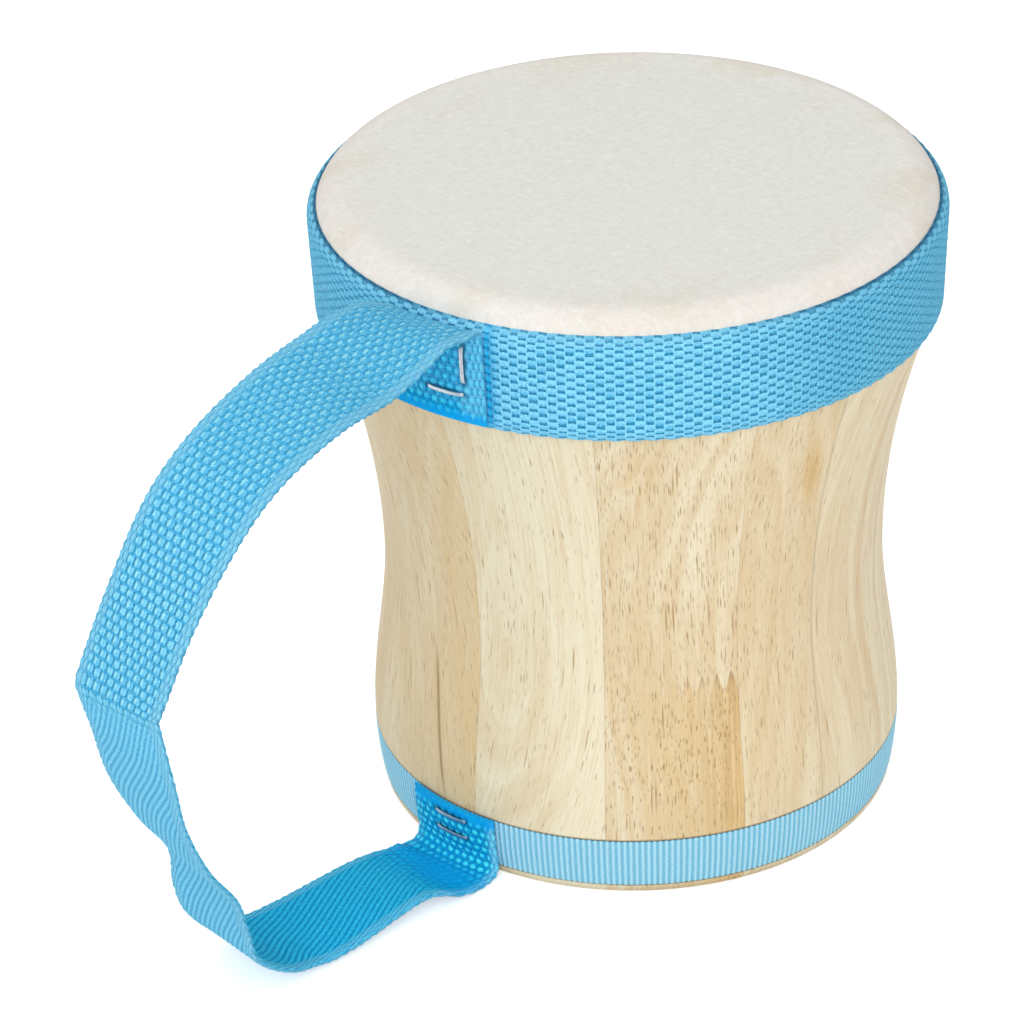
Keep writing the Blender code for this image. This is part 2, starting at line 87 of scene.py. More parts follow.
LOOKS = ("tone", "honey", "pores", "lines", "dots", "glue_and_shade")
GRAIN_STEP = (0.07, 0.17, 0.05)
SWAY_RUN = 0.035
STAIN_WIDTH = 0.005
STAIN_LENGTH = 0.011
LINES_TOP = 0.105
LINES_FADE = 0.030
DOTS_HEIGHT = 0.037
DOTS_REACH = 0.016
SANDY_TOP = 0.082
SANDY_FADE = 0.020
DARK_SEAM = 3
FOOT_LIP_SHADE = 0.25
SEAM_GRIME = 0.38
TOOTH_GRIME = 0.80
STREAKED_STAVE = 11
STREAK_SIDE = 0.0086
STREAK_LOW = 0.012
STREAK_HIGH = 0.056
STREAK_FADE = 0.012

# Width and length of the patch of wood that holds one stroke of each kind
FINE_PORE = (0.00046, 0.0056)
SHORT_PORE = (0.00072, 0.0068)
LONG_LINE = (0.0010, 0.0220)
BROWN_DOT = (0.0009, 0.0030)

CREAM_WOOD = (0.850, 0.760, 0.550)
SAND_WOOD = (0.735, 0.580, 0.355)
HONEY_WOOD = (0.720, 0.500, 0.230)
FIBRE_TAN = (0.640, 0.470, 0.270)
FIBRE_PALE = (0.900, 0.820, 0.630)
FIBRE_HONEY = (0.520, 0.330, 0.140)
LINE_BROWN = (0.430, 0.265, 0.115)
DOT_BROWN = (0.360, 0.215, 0.070)
PORE_BROWN = (0.330, 0.185, 0.075)
GLUE_AND_SHADE_BROWN = (0.220, 0.150, 0.085)


class Wire:
    """One socket of a material's nodes: sums and products of it add Math nodes to the material."""

    def __init__(self, tree, socket=None):
        self.tree = tree
        self.socket = socket

    def node(self, kind, settings, sockets, output=0):
        """Adds a node, sets it up, fills its sockets with values or wires, and returns one output."""
        made = self.tree.nodes.new(kind)
        for name, value in settings.items():
            setattr(made, name, value)
        for name, value in sockets.items():
            if isinstance(value, Wire):
                self.tree.links.new(value.socket, made.inputs[name])
            else:
                made.inputs[name].default_value = value
        return Wire(self.tree, made.outputs[output])

    def math(self, operation, first, second=0.0):
        return self.node("ShaderNodeMath", {"operation": operation}, {0: first, 1: second})

    def __add__(self, other):
        return self.math("ADD", self, other)

    __radd__ = __add__

    def __sub__(self, other):
        return self.math("SUBTRACT", self, other)

    def __rsub__(self, other):
        return self.math("SUBTRACT", other, self)

    def __mul__(self, other):
        return self.math("MULTIPLY", self, other)

    __rmul__ = __mul__


def start_finish(name):
    """A new material: its wire, and its Principled shader to feed."""
    material = bpy.data.materials.new(name)
    material.use_nodes = True
    shader = material.node_tree.nodes["Principled BSDF"]
    return material, Wire(material.node_tree), shader


def feed(wire, shader, **sockets):
    """Links wires into the shader, and sets plain values on its own sockets."""
    for name, value in sockets.items():
        socket = shader.inputs[name.replace("_", " ")]
        if isinstance(value, Wire):
            wire.tree.links.new(value.socket, socket)
        else:
            socket.default_value = value


def mixed(share, first, second):
    """Colour between the first and the second by share."""
    ends = [colour if isinstance(colour, Wire) else (*colour, 1.0) for colour in (first, second)]
    return share.node("ShaderNodeMix", {"data_type": "RGBA"}, {0: share, 6: ends[0], 7: ends[1]}, 2)


def eased(value, low, high):
    """0 below low, 1 above high and a soft step between; low may be the larger one."""
    settings = {"interpolation_type": "SMOOTHSTEP"}
    sockets = {0: value, 1: min(low, high), 2: max(low, high)}
    step = value.node("ShaderNodeMapRange", settings, sockets)
    return step if low < high else 1 - step


def noise(wire, place, scale, detail=3.0):
    sockets = {"Vector": place, "Scale": scale, "Detail": detail}
    return wire.node("ShaderNodeTexNoise", {}, sockets)


def stored(wire, name, output="Fac"):
    """A value kept on the mesh's points."""
    return wire.node("ShaderNodeAttribute", {"attribute_name": name}, {}, output)


def part_of(wire, place, axis):
    return wire.node("ShaderNodeSeparateXYZ", {}, {0: place}, axis)


def stretched(wire, place, factors):
    return wire.node("ShaderNodeVectorMath", {"operation": "MULTIPLY"}, {0: place, 1: factors})


def bumped(wire, height, distance, strength=1.0):
    return wire.node("ShaderNodeBump", {}, {"Strength": strength, "Distance": distance, "Height": height})


def around(radius, angle, height):
    """Points at an angle round the drum, which starts at the strap side and grows towards -Y."""
    radius, angle, height = np.broadcast_arrays(radius, angle, height)
    return np.stack([-radius * np.cos(angle), -radius * np.sin(angle), height], axis=-1)


def ramp(value, start, run):
    """0 at start and 1 a run further on, straight between and level beyond; a run below 0 goes back."""
    return np.clip((value - start) / run, 0, 1)


def shell_radius(height):
    """Outer radius of the turned shell: rounded foot, belly, waist, then a flare."""
    foot = BELLY_RADIUS - (BELLY_RADIUS - FOOT_RADIUS) * (1 - height / BELLY_HEIGHT) ** 2
    share = ramp(height, BELLY_HEIGHT, WAIST_HEIGHT - BELLY_HEIGHT)
    waist = BELLY_RADIUS + (WAIST_RADIUS - BELLY_RADIUS) * share * share * (3 - 2 * share)
    rise = (height - WAIST_HEIGHT) / (SHOULDER_HEIGHT - WAIST_HEIGHT)
    flare = WAIST_RADIUS + (SHOULDER_RADIUS - WAIST_RADIUS) * rise * rise
    return np.where(height < BELLY_HEIGHT, foot, np.where(height < WAIST_HEIGHT, waist, flare))


def wall_outline(low, high):
    """Section of the shell wall; low and high are heights of a joint there, or None for foot and rim."""
    points = []
    if low is None:
        points += [(FOOT_RADIUS - EDGE_EASE, 0.0), (FOOT_RADIUS - EDGE_EASE / 4, EDGE_EASE / 4)]
        points += [(shell_radius(z), z) for z in (EDGE_EASE, FOOT_LIP)]
        groove = np.linspace(FOOT_LIP, GROOVE_TOP, GROOVE_STEPS)
        points += [(shell_radius(z) - GROOVE_DEPTH, z) for z in groove]
        points.append((shell_radius(GROOVE_TOP), GROOVE_TOP))
    bottom = GROOVE_TOP + GROOVE_EDGE if low is None else low
    top = SHOULDER_HEIGHT if high is None else high
    points += [(shell_radius(z), z) for z in np.linspace(bottom, top, FACE_STEPS)]
    if high is None:
        points += [(NECK_RADIUS, SHOULDER_HEIGHT), (NECK_RADIUS, BEAD_START)]
        for turn in np.linspace(0, math.pi / 2, RIM_STEPS):
            side = RIM_RADIUS - RIM_ROUNDING * (1 - math.cos(turn))
            points.append((side, RIM_HEIGHT - RIM_ROUNDING * (1 - math.sin(turn))))
        bore = SHOULDER_RADIUS - SHELL_WALL
        points += [(bore + EDGE_EASE, RIM_HEIGHT), (bore, RIM_HEIGHT - EDGE_EASE)]
    bottom = EDGE_EASE if low is None else low
    points += [(shell_radius(z) - SHELL_WALL, z) for z in np.linspace(top, bottom, BORE_STEPS)]
    if low is None:
        points.append((FOOT_RADIUS - SHELL_WALL + EDGE_EASE, 0.0))
    return np.array(points, float)


def add_piece(name, points, faces, material, smooth_angle=math.radians(40)):
    """A mesh object with outward faces, smooth but for its real edges."""
    mesh = bpy.data.meshes.new(name)
    mesh.from_pydata(points.reshape(-1, 3).tolist(), [], faces)
    shape = bmesh.new()
    shape.from_mesh(mesh)
    bmesh.ops.recalc_face_normals(shape, faces=shape.faces)
    shape.to_mesh(mesh)
    shape.free()
    mesh.shade_smooth()
    mesh.set_sharp_from_angle(angle=smooth_angle)
    mesh.materials.append(material)
    piece = bpy.data.objects.new(name, mesh)
    bpy.context.scene.collection.objects.link(piece)
    return piece


def keep_value(piece, name, values):
    """Stores a number, or a vector, for each point, for the material to read."""
    values = np.asarray(values, np.float32)
    is_vector = values.size == 3 * len(piece.data.vertices)
    attribute = piece.data.attributes.new(name, "FLOAT_VECTOR" if is_vector else "FLOAT", "POINT")
    attribute.data.foreach_set("vector" if is_vector else "value", values.ravel())


def lofted_faces(rows, columns):
    """Quads between rows of points that each close on themselves, and a face on the first and last row."""
    row, column = np.meshgrid(np.arange(rows - 1), np.arange(columns), indexing="ij")
    beside = (column + 1) % columns
    corners = [(row, column), (row, beside), (row + 1, beside), (row + 1, column)]
    faces = np.stack([r * columns + c for r, c in corners], axis=-1).reshape(-1, 4).tolist()
    last = (rows - 1) * columns
    return faces + [list(range(columns))[::-1], [last + step for step in range(columns)]]


def finger_edge(across, half):
    """Height of the zigzag finger joint across a stave that is half this wide at the shoulder."""
    wave = np.abs((across + half) / half * FINGER_TEETH / 2 % 1.0 - 0.5) * 2
    return FINGER_HEIGHT + FINGER_DEPTH * (0.5 - wave)


def stave_turns(width, half, joint):
    """Angles of the columns of points across a stave; at a joint they meet each tooth and gap."""
    if not joint:
        return np.linspace(0, width, STAVE_COLUMNS + 1)
    waist = float(shell_radius(FINGER_HEIGHT))
    teeth = np.arange(-2 * FINGER_TEETH, 2 * FINGER_TEETH + 1) * half / FINGER_TEETH / 2
    inside = np.abs(teeth) < waist * math.sin(width / 2) - TOOTH_MARGIN
    teeth = np.arcsin(teeth[inside] / waist)
    return np.concatenate([[0], width / 2 + teeth, [width]])


def make_stave(name, index, material, sawn, joint=None):
    """One stave as a closed solid. Its grain follows from where the log's heart lay and how it leant,
    and its looks go from one edge to the other."""
    heart, rake, lean, *edges, stain = sawn
    start = FIRST_GLUE_LINE + math.radians(sum(STAVE_WIDTHS[:index]))
    width = math.radians(STAVE_WIDTHS[index])
    half = SHOULDER_RADIUS * math.tan(width / 2)
    columns = []
    grains = []
    looks = []
    for turn in stave_turns(width, half, joint):
        edge = finger_edge(float(shell_radius(FINGER_HEIGHT)) * math.sin(turn - width / 2), half)
        outline = wall_outline(edge if joint == "above" else None, edge if joint == "below" else None)
        radius, up = outline.T
        trim = np.arcsin(GLUE_LINE / 2 / radius)
        turned = trim + (width - 2 * trim) * turn / width
        columns.append(around(radius, start + turned, up))
        across = radius * np.sin(turned - width / 2)
        depth = radius * np.cos(turned - width / 2)
        ring = np.hypot(across - heart[0], depth - heart[1] - rake * up)
        sway = lean[1] * up + (lean[0] - lean[1]) * SWAY_RUN * (1 - np.exp(-up / SWAY_RUN))
        grain = np.stack([across - sway, up, ring], axis=-1)
        grains.append(grain + np.multiply(GRAIN_STEP, index))
        share = turn / width
        look = {}
        for kind, (first, last) in zip(LOOKS, edges):
            look[kind] = np.full_like(up, first + (last - first) * share)
        honey = edges[LOOKS.index("honey")]
        look["honey"] += (honey[1] - honey[0]) * share * (share - 1)
        stained = ((across - stain[0]) / STAIN_WIDTH) ** 2 + ((up - stain[1]) / STAIN_LENGTH) ** 2
        look["honey"] += stain[2] * np.exp(-stained)
        look["lines"] *= np.clip((LINES_TOP - up) / LINES_FADE, 0.3, 1)
        look["dots"] *= np.clip(1.3 - np.abs(up - DOTS_HEIGHT) / DOTS_REACH, 0.25, 1)
        # A painted shadow line on the groove's top row, over the ribbon, and painted shade on the foot lip;
        # the seam and the finger joint's teeth get dark glue
        look["glue_and_shade"] = (np.abs(up - GROOVE_TOP) < 1e-6) + FOOT_LIP_SHADE * (up < FOOT_LIP)
        look["glue_and_shade"] += SEAM_GRIME * (index == DARK_SEAM and share == 0)
        if joint == "above":
            look["tone"] += 0.20 * ramp(up, SANDY_TOP, -SANDY_FADE)
        if joint == "below":
            tip = np.clip(1 - (edge - up) / 0.0030, 0, 1) * ramp(edge, FINGER_HEIGHT, 0.0022)
            look["glue_and_shade"] += TOOTH_GRIME * tip * ramp(across, 0.0010, 0.004)
        looks.append(look)
    points = np.array(columns)
    stave = add_piece(name, points, lofted_faces(*points.shape[:2]), material)
    keep_value(stave, "grain", grains)
    for kind in LOOKS:
        keep_value(stave, kind, [look[kind] for look in looks])
    return stave


def strokes(wire, grain, cell, thickness, share):
    """Strokes along the grain: one to a cell of this width and length, kept by chance for this share."""
    place = stretched(wire, grain, (1 / cell[0], 1 / cell[1], 0))
    sockets = {"Vector": place, "Scale": 1.0, "Randomness": 1.0}
    distance = wire.node("ShaderNodeTexVoronoi", {"voronoi_dimensions": "2D"}, sockets, "Distance")
    chance = wire.node("ShaderNodeTexVoronoi", {"voronoi_dimensions": "2D"}, sockets, "Color")
    stout = wire.node("ShaderNodeSeparateColor", {}, {0: chance}, "Green")
    dark = wire.node("ShaderNodeSeparateColor", {}, {0: chance}, "Blue")
    chance = wire.node("ShaderNodeSeparateColor", {}, {0: chance}, "Red")
    stroke = eased(distance * (1.75 - stout), thickness * 1.2, thickness * 0.35)
    return stroke * (dark * 0.75 + 0.30) * eased(share - chance, 0.0, 0.10)


def rubberwood(name, streak=None):
    """Cream to sand growth bands, fine fibres and short brown pores. A streak is one dark mineral line,
    given by its place across the grain and its two ends."""
    material, wire, shader = start_finish(name)
    grain = stored(wire, "grain", "Vector")
    tone = stored(wire, "tone")
    honey = stored(wire, "honey")
    drift = noise(wire, stretched(wire, grain, (75, 9, 0)), 1.0, 2.0)
    wobble = noise(wire, stretched(wire, grain, (420, 42, 0)), 1.0, 2.0)
    ring = part_of(wire, grain, "Z") + drift * 0.007 + wobble * 0.0007
    sockets = {"W": ring, "Scale": 330.0, "Detail": 2.0}
    bands = wire.node("ShaderNodeTexNoise", {"noise_dimensions": "1D"}, sockets)
    cloud = noise(wire, stretched(wire, grain, (70, 13, 0)), 1.0, 3.0)
    fibre = noise(wire, stretched(wire, grain, (1500, 38, 0)), 1.0, 3.0)
    hair = noise(wire, stretched(wire, grain, (4200, 160, 0)), 1.0, 2.0)
    figure = bands * 0.75 + cloud * 0.9 - 0.82
    colour = mixed(eased(tone + figure * 1.5, 0.05, 1.0), CREAM_WOOD, SAND_WOOD)
    colour = mixed(eased(honey + figure * 0.8, 0.15, 1.05), colour, HONEY_WOOD)
    colour = mixed(eased(fibre, 0.48, 0.78) * 0.46, colour, FIBRE_TAN)
    colour = mixed(eased(fibre, 0.47, 0.22) * 0.34, colour, FIBRE_PALE)
    colour = mixed(eased(hair, 0.48, 0.78) * 0.34, colour, FIBRE_TAN)
    colour = mixed(eased(hair, 0.47, 0.25) * 0.20, colour, FIBRE_PALE)
    golden = eased(honey, 0.45, 0.95) * eased(fibre, 0.40, 0.62)
    colour = mixed(golden * 0.45, colour, FIBRE_HONEY)
    crowd = noise(wire, stretched(wire, grain, (130, 28, 0)), 1.0, 2.0)
    pores = stored(wire, "pores")
    short = strokes(wire, grain, SHORT_PORE, 0.20, pores * eased(crowd, 0.25, 0.60))
    fine = strokes(wire, grain, FINE_PORE, 0.19, pores * 0.6 + 0.22)
    lines = stored(wire, "lines") * eased(crowd, 0.66, 0.36)
    long = strokes(wire, grain, LONG_LINE, 0.19, lines * 0.6)
    dots = stored(wire, "dots") * eased(crowd, 0.28, 0.58)
    dots = strokes(wire, grain, BROWN_DOT, 0.23, dots)
    colour = mixed(fine * 0.60, colour, PORE_BROWN)
    colour = mixed(long * 0.90, colour, LINE_BROWN)
    colour = mixed(short * 0.72, colour, PORE_BROWN)
    colour = mixed(dots * 0.80, colour, DOT_BROWN)
    if streak:
        side, low, high = streak
        away = wire.math("ABSOLUTE", part_of(wire, grain, "X") + drift * 0.0024 - (side + 0.0012))
        along = part_of(wire, grain, "Y")
        line = eased(along, low, low + STREAK_FADE) * eased(along, high, high - STREAK_FADE)
        colour = mixed(eased(away, 0.0020, 0.0002) * line * 0.45, colour, FIBRE_TAN)
        core = eased(away, 0.00075, 0.0001) * line * eased(cloud, 0.30, 0.55)
        colour = mixed(core * 0.75, colour, PORE_BROWN)
    # Dark glue at the joints, and painted shade at the groove and on the foot lip
    colour = mixed(stored(wire, "glue_and_shade") * 0.85, colour, GLUE_AND_SHADE_BROWN)
    bump = bumped(wire, fibre * 0.3 - short - dots, 0.00010, 0.7)
    feed(wire, shader, Base_Color=colour, Roughness=hair * 0.12 + 0.50, Normal=bump)
    feed(wire, shader, Specular_IOR_Level=0.25)
    return material


# Each stave at the front: heart, rake and lean of the log; then sand, honey, pores, long lines and dots
# at its two edges, and the place and strength of a stain. The rest are ordinary boards, each unlike the next.
clear = (0, 0, 0)
none = (0, 0)
lumber = {
    0: ((-0.008, 0.040), 0.30, (0.55, -0.06),
        (0.50, 0.16), none, (0.34, 0.26), (0.8, 0.8), none, clear),
    1: ((0.034, 0.012), 0.04, (0.04, -0.05),
        (0.68, 0.62), none, (1.40, 1.15), (2.4, 2.8), none, (-0.010, 0.112, 0.5)),
    2: ((-0.030, 0.020), 0.05, (0.01, 0.00),
        (0.72, 0.68), none, (0.85, 0.60), (0.7, 0.6), none, (0.006, 0.104, 0.8)),
    3: ((0.050, 0.010), 0.02, (-0.01, 0.00),
        (0.48, 0.60), none, (0.25, 0.20), (0.8, 0.8), none, clear),
    10: ((-0.030, 0.020), 0.06, (0.03, 0.02),
         (0.62, 0.75), (0.15, 0.25), (0.45, 0.40), (0.7, 0.7), none, clear),
    11: ((0.026, 0.014), 0.05, (-0.143, -0.143),
         (0.70, 0.95), (0.30, 0.52), (0.30, 0.65), (0.8, 0.8), none, clear),
}
foot_length = ((0.010, 0.046), 0.10, (0.02, 0.00),
               (0.85, 0.95), (0.30, 0.95), (0.80, 0.65), (0.8, 0.9), (1.25, 1.15), clear)
wood = rubberwood("rubberwood")
shift = [step * STREAKED_STAVE for step in GRAIN_STEP]
streak = (STREAK_SIDE + shift[0], STREAK_LOW + shift[1], STREAK_HIGH + shift[1])
streaked_wood = rubberwood("streaked_rubberwood", streak)
for index in range(len(STAVE_WIDTHS)):
    heart = (0.04 * math.sin(2.1 * index), 0.025 + 0.014 * math.cos(1.7 * index))
    usual = (heart, 0.12 * math.sin(1.3 * index), (0.05 * math.sin(3.3 * index), 0.0))
    usual += ((0.5 + 0.4 * math.sin(index), 0.5 + 0.4 * math.sin(1.9 * index)), none, (0.7, 0.5))
    usual += ((0.7, 0.7), none, clear)
    name = f"stave_{index + 1:02d}"
    joint = "above" if index == FINGER_STAVE else None
    finish = streaked_wood if index == STREAKED_STAVE else wood
    staves = [make_stave(name, index, finish, lumber.get(index, usual), joint)]
    if joint:
        staves.append(make_stave(name + "_foot", index, wood, foot_length, "below"))
    for stave in staves:
        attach(stave, "drum")
        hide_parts("shell_" + stave.name)


# Hide head
# One disc of raw hide is wetted, drawn over the rounded rim and stapled behind the band.
# Dry, it is drum-tight: it dips a hair inside the rim, and it yellows in blotches towards the edge.

HEAD_RADIUS = 0.0705
HEAD_HEIGHT = 0.1531
HEAD_THICKNESS = 0.0009
HEAD_ROUNDING = 0.0072
SKIRT_BOTTOM = 0.1245
RIM_BORE = SHOULDER_RADIUS - SHELL_WALL
BEAD_TOP = HEAD_HEIGHT - HEAD_ROUNDING
HEAD_DIP = 0.00015
DIP_EDGE = RIM_BORE + 0.001
DIP_RUN = 0.006
HEAD_MIDDLE = 0.0005
HEAD_COLUMNS = 240

HIDE_GREY = (0.755, 0.750, 0.712)
HIDE_WARM = (0.808, 0.765, 0.712)
HIDE_YELLOW = (0.715, 0.672, 0.555)
HIDE_BLUSH = (0.800, 0.690, 0.610)
HIDE_SHADE = (0.580, 0.570, 0.530)
HIDE_LIGHT = (0.900, 0.890, 0.850)


def dipped(radius):
    """How far the free span of the head lies under its rim."""
    share = ramp(radius, DIP_EDGE, -DIP_RUN)
    return HEAD_DIP * share * share * (3 - 2 * share)


def hide():
    """Matt off-white hide: felted fibres all over, warm over the rim and yellowed in blotches near it."""
    material, wire, shader = start_finish("raw_hide")
    place = wire.node("ShaderNodeTexCoord", {}, {}, "Object")
    flat = stretched(wire, place, (1, 1, 0))
    radius = wire.node("ShaderNodeVectorMath", {"operation": "LENGTH"}, {0: flat}, 1)
    blotch = noise(wire, place, 62.0, 3.0)
    felt = noise(wire, stretched(wire, place, (420, 900, 400)), 1.0, 4.0)
    cross_felt = noise(wire, stretched(wire, place, (1000, 380, 400)), 1.0, 4.0)
    nap = noise(wire, place, 2300.0, 3.0)
    edge = eased(radius + blotch * 0.008, RIM_BORE + 0.0005, RIM_BORE + 0.0105)
    colour = mixed(edge, HIDE_GREY, HIDE_WARM)
    stained = eased(blotch, 0.45, 0.72) * eased(radius, 0.040, 0.066)
    colour = mixed(stained * 0.70, colour, HIDE_YELLOW)
    blush = eased(noise(wire, place, 85.0, 2.0), 0.52, 0.75) * eased(radius, 0.060, 0.069)
    colour = mixed(blush * 0.40, colour, HIDE_BLUSH)
    colour = mixed(eased(felt, 0.42, 0.70) * 0.22, colour, HIDE_SHADE)
    colour = mixed(eased(cross_felt, 0.48, 0.72) * 0.34, colour, HIDE_LIGHT)
    colour = mixed(eased(nap, 0.42, 0.72) * 0.22, colour, HIDE_SHADE)
    relief = felt * 0.7 + nap * 0.3
    feed(wire, shader, Base_Color=colour, Normal=bumped(wire, relief, 0.00012, 0.7))
    feed(wire, shader, Roughness=0.9, Specular_IOR_Level=0.12)
    return material


flat_edge = HEAD_RADIUS - HEAD_ROUNDING
span = np.linspace(HEAD_MIDDLE, RIM_BORE - DIP_RUN, 30)
over_wall = np.linspace(RIM_BORE - 0.005, flat_edge, 14)
profile = [(r, HEAD_HEIGHT - dipped(r)) for r in np.concatenate([span, over_wall])]
for turn in np.linspace(math.pi / 2, 0, 12)[1:]:
    side = flat_edge + HEAD_ROUNDING * math.cos(turn)
    profile.append((side, BEAD_TOP + HEAD_ROUNDING * math.sin(turn)))
profile += [(SHOULDER_RADIUS, z) for z in (BEAD_START, SKIRT_BOTTOM)]
profile += [(SHOULDER_RADIUS - HEAD_THICKNESS, z) for z in (SKIRT_BOTTOM, BEAD_START)]
inner = HEAD_ROUNDING - HEAD_THICKNESS
for turn in np.linspace(0, math.pi / 2, 8):
    profile.append((flat_edge + inner * math.cos(turn), BEAD_TOP + inner * math.sin(turn)))
under = np.linspace(DIP_EDGE, HEAD_MIDDLE, 12)
profile += [(r, HEAD_HEIGHT - HEAD_THICKNESS - dipped(r)) for r in under]
profile = np.array(profile, float)
turns = np.linspace(0, math.tau, HEAD_COLUMNS, endpoint=False)
points = around(profile[:, 0, None], turns[None, :], profile[:, 1, None])
head = add_piece("hide_head", points, lofted_faces(len(profile), HEAD_COLUMNS), hide())
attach(head, "drum")
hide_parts("drumhead")


# Rim band
# A length of warp-faced polyester webbing runs tight round the rim and covers the hide's staples.
# Its warp yarns rise in staggered pillows, finer at the two woven edges; its cut ends meet under the strap.

WEBBING_WIDTH = 0.0254
BAND_TOP = 0.1489
BAND_BOTTOM = 0.1239
BAND_FOOT = 0.0712
BAND_FLARE = 0.0009
BAND_LEAN = 0.0007
BAND_TIP_LEAN = 0.0013
BAND_THICKNESS = 0.0012
BAND_JOIN = math.radians(4.0)
JOIN_GAP = 0.0004
RIM_CLEARANCE = 0.00004
BAND_PICKS = 214
PICK_PITCH = 0.00214
RIB_TURN = 0.68 * math.tau
YARN_PITCH = 0.001070
SELVEDGE = 0.0026
EDGE_ROUNDING = 0.0008
EDGE_RIPPLE = 0.00022
RIPPLE_START = 0.0112
RIPPLE_RUN = 0.0014
WEAVE_DEPTH = 0.00030
BAND_COLUMNS = 1 + BAND_PICKS * 4
WEBBING_ROWS = 86
LIT_SIDE = math.radians(36.0)
LAP_EDGE = math.radians(14.4)
LAP_SHADE = math.radians(0.9)
BAND_STRIP = 0.0020
STRIP_FADE = 0.0008

WEB_HOLLOW_SHADE = (0.018, 0.215, 0.390)
WEB_BLUE = (0.066, 0.430, 0.750)
WEB_PALE = (0.260, 0.710, 0.950)
WEB_MID = (0.064, 0.412, 0.690)
WEB_GLINT = (0.420, 0.920, 1.000)
WEB_GAP = (0.030, 0.330, 0.620)
WEB_FURROW_SHADE = (0.075, 0.420, 0.700)
WEB_RIB = (0.205, 0.650, 0.920)
DEEP_HOLLOW_SHADE = (0.001, 0.280, 0.580)
DEEP_BLUE = (0.004, 0.450, 0.860)
DEEP_RIB = (0.028, 0.515, 0.880)
DEEP_GLINT = (0.080, 0.920, 1.000)
PALE_EDGE = (0.230, 0.570, 0.780)
DEEP_EDGE = (0.230, 0.670, 0.910)
MELTED_BLUE = (0.001, 0.310, 0.760)
MELTED_SHINE = (0.004, 0.440, 0.900)
PAINTED_SHADE_BLUE = (0.002, 0.070, 0.160)


def yarn_count(across):
    """Number of the yarn across the webbing; the yarns of the two woven edges lie closer."""
    reach = np.maximum(np.abs(across) - (WEBBING_WIDTH / 2 - SELVEDGE), 0)
    return (across + np.sign(across) * reach * 0.7) / YARN_PITCH


def weave_relief(picks, yarns, ribbed=0.0):
    """Height of the weave, from 0 between the yarns to 1 on their crests: pillows, or slanted ribs."""
    crossing = np.cos(math.pi * picks) * np.cos(math.pi * yarns)
    crossing = crossing * (1 - ribbed) + 0.6 * np.cos(RIB_TURN * (picks + yarns)) * ribbed
    share = ramp(crossing, -0.90, 1.2)
    return share * share * (3 - 2 * share)


def band_radius(height):
    """Outer radius of the rim band, which opens up to the bead of the hide and leans in over it."""
    flare = np.minimum((height - BAND_BOTTOM) / (BEAD_TOP - BAND_BOTTOM), 1)
    lean = np.maximum((height - BEAD_TOP) / (BAND_TOP - BEAD_TOP), 0)
    return BAND_FOOT + BAND_FLARE * flare - BAND_LEAN * lean * lean


def rounded_edge(across):
    """Share of the full thickness, which falls off at the two woven edges."""
    near = ramp(np.abs(across), WEBBING_WIDTH / 2, -EDGE_ROUNDING)
    return 0.45 + 0.55 * np.sqrt(1 - (1 - near) ** 2)


def cosine(value):
    return value.math("COSINE", value)


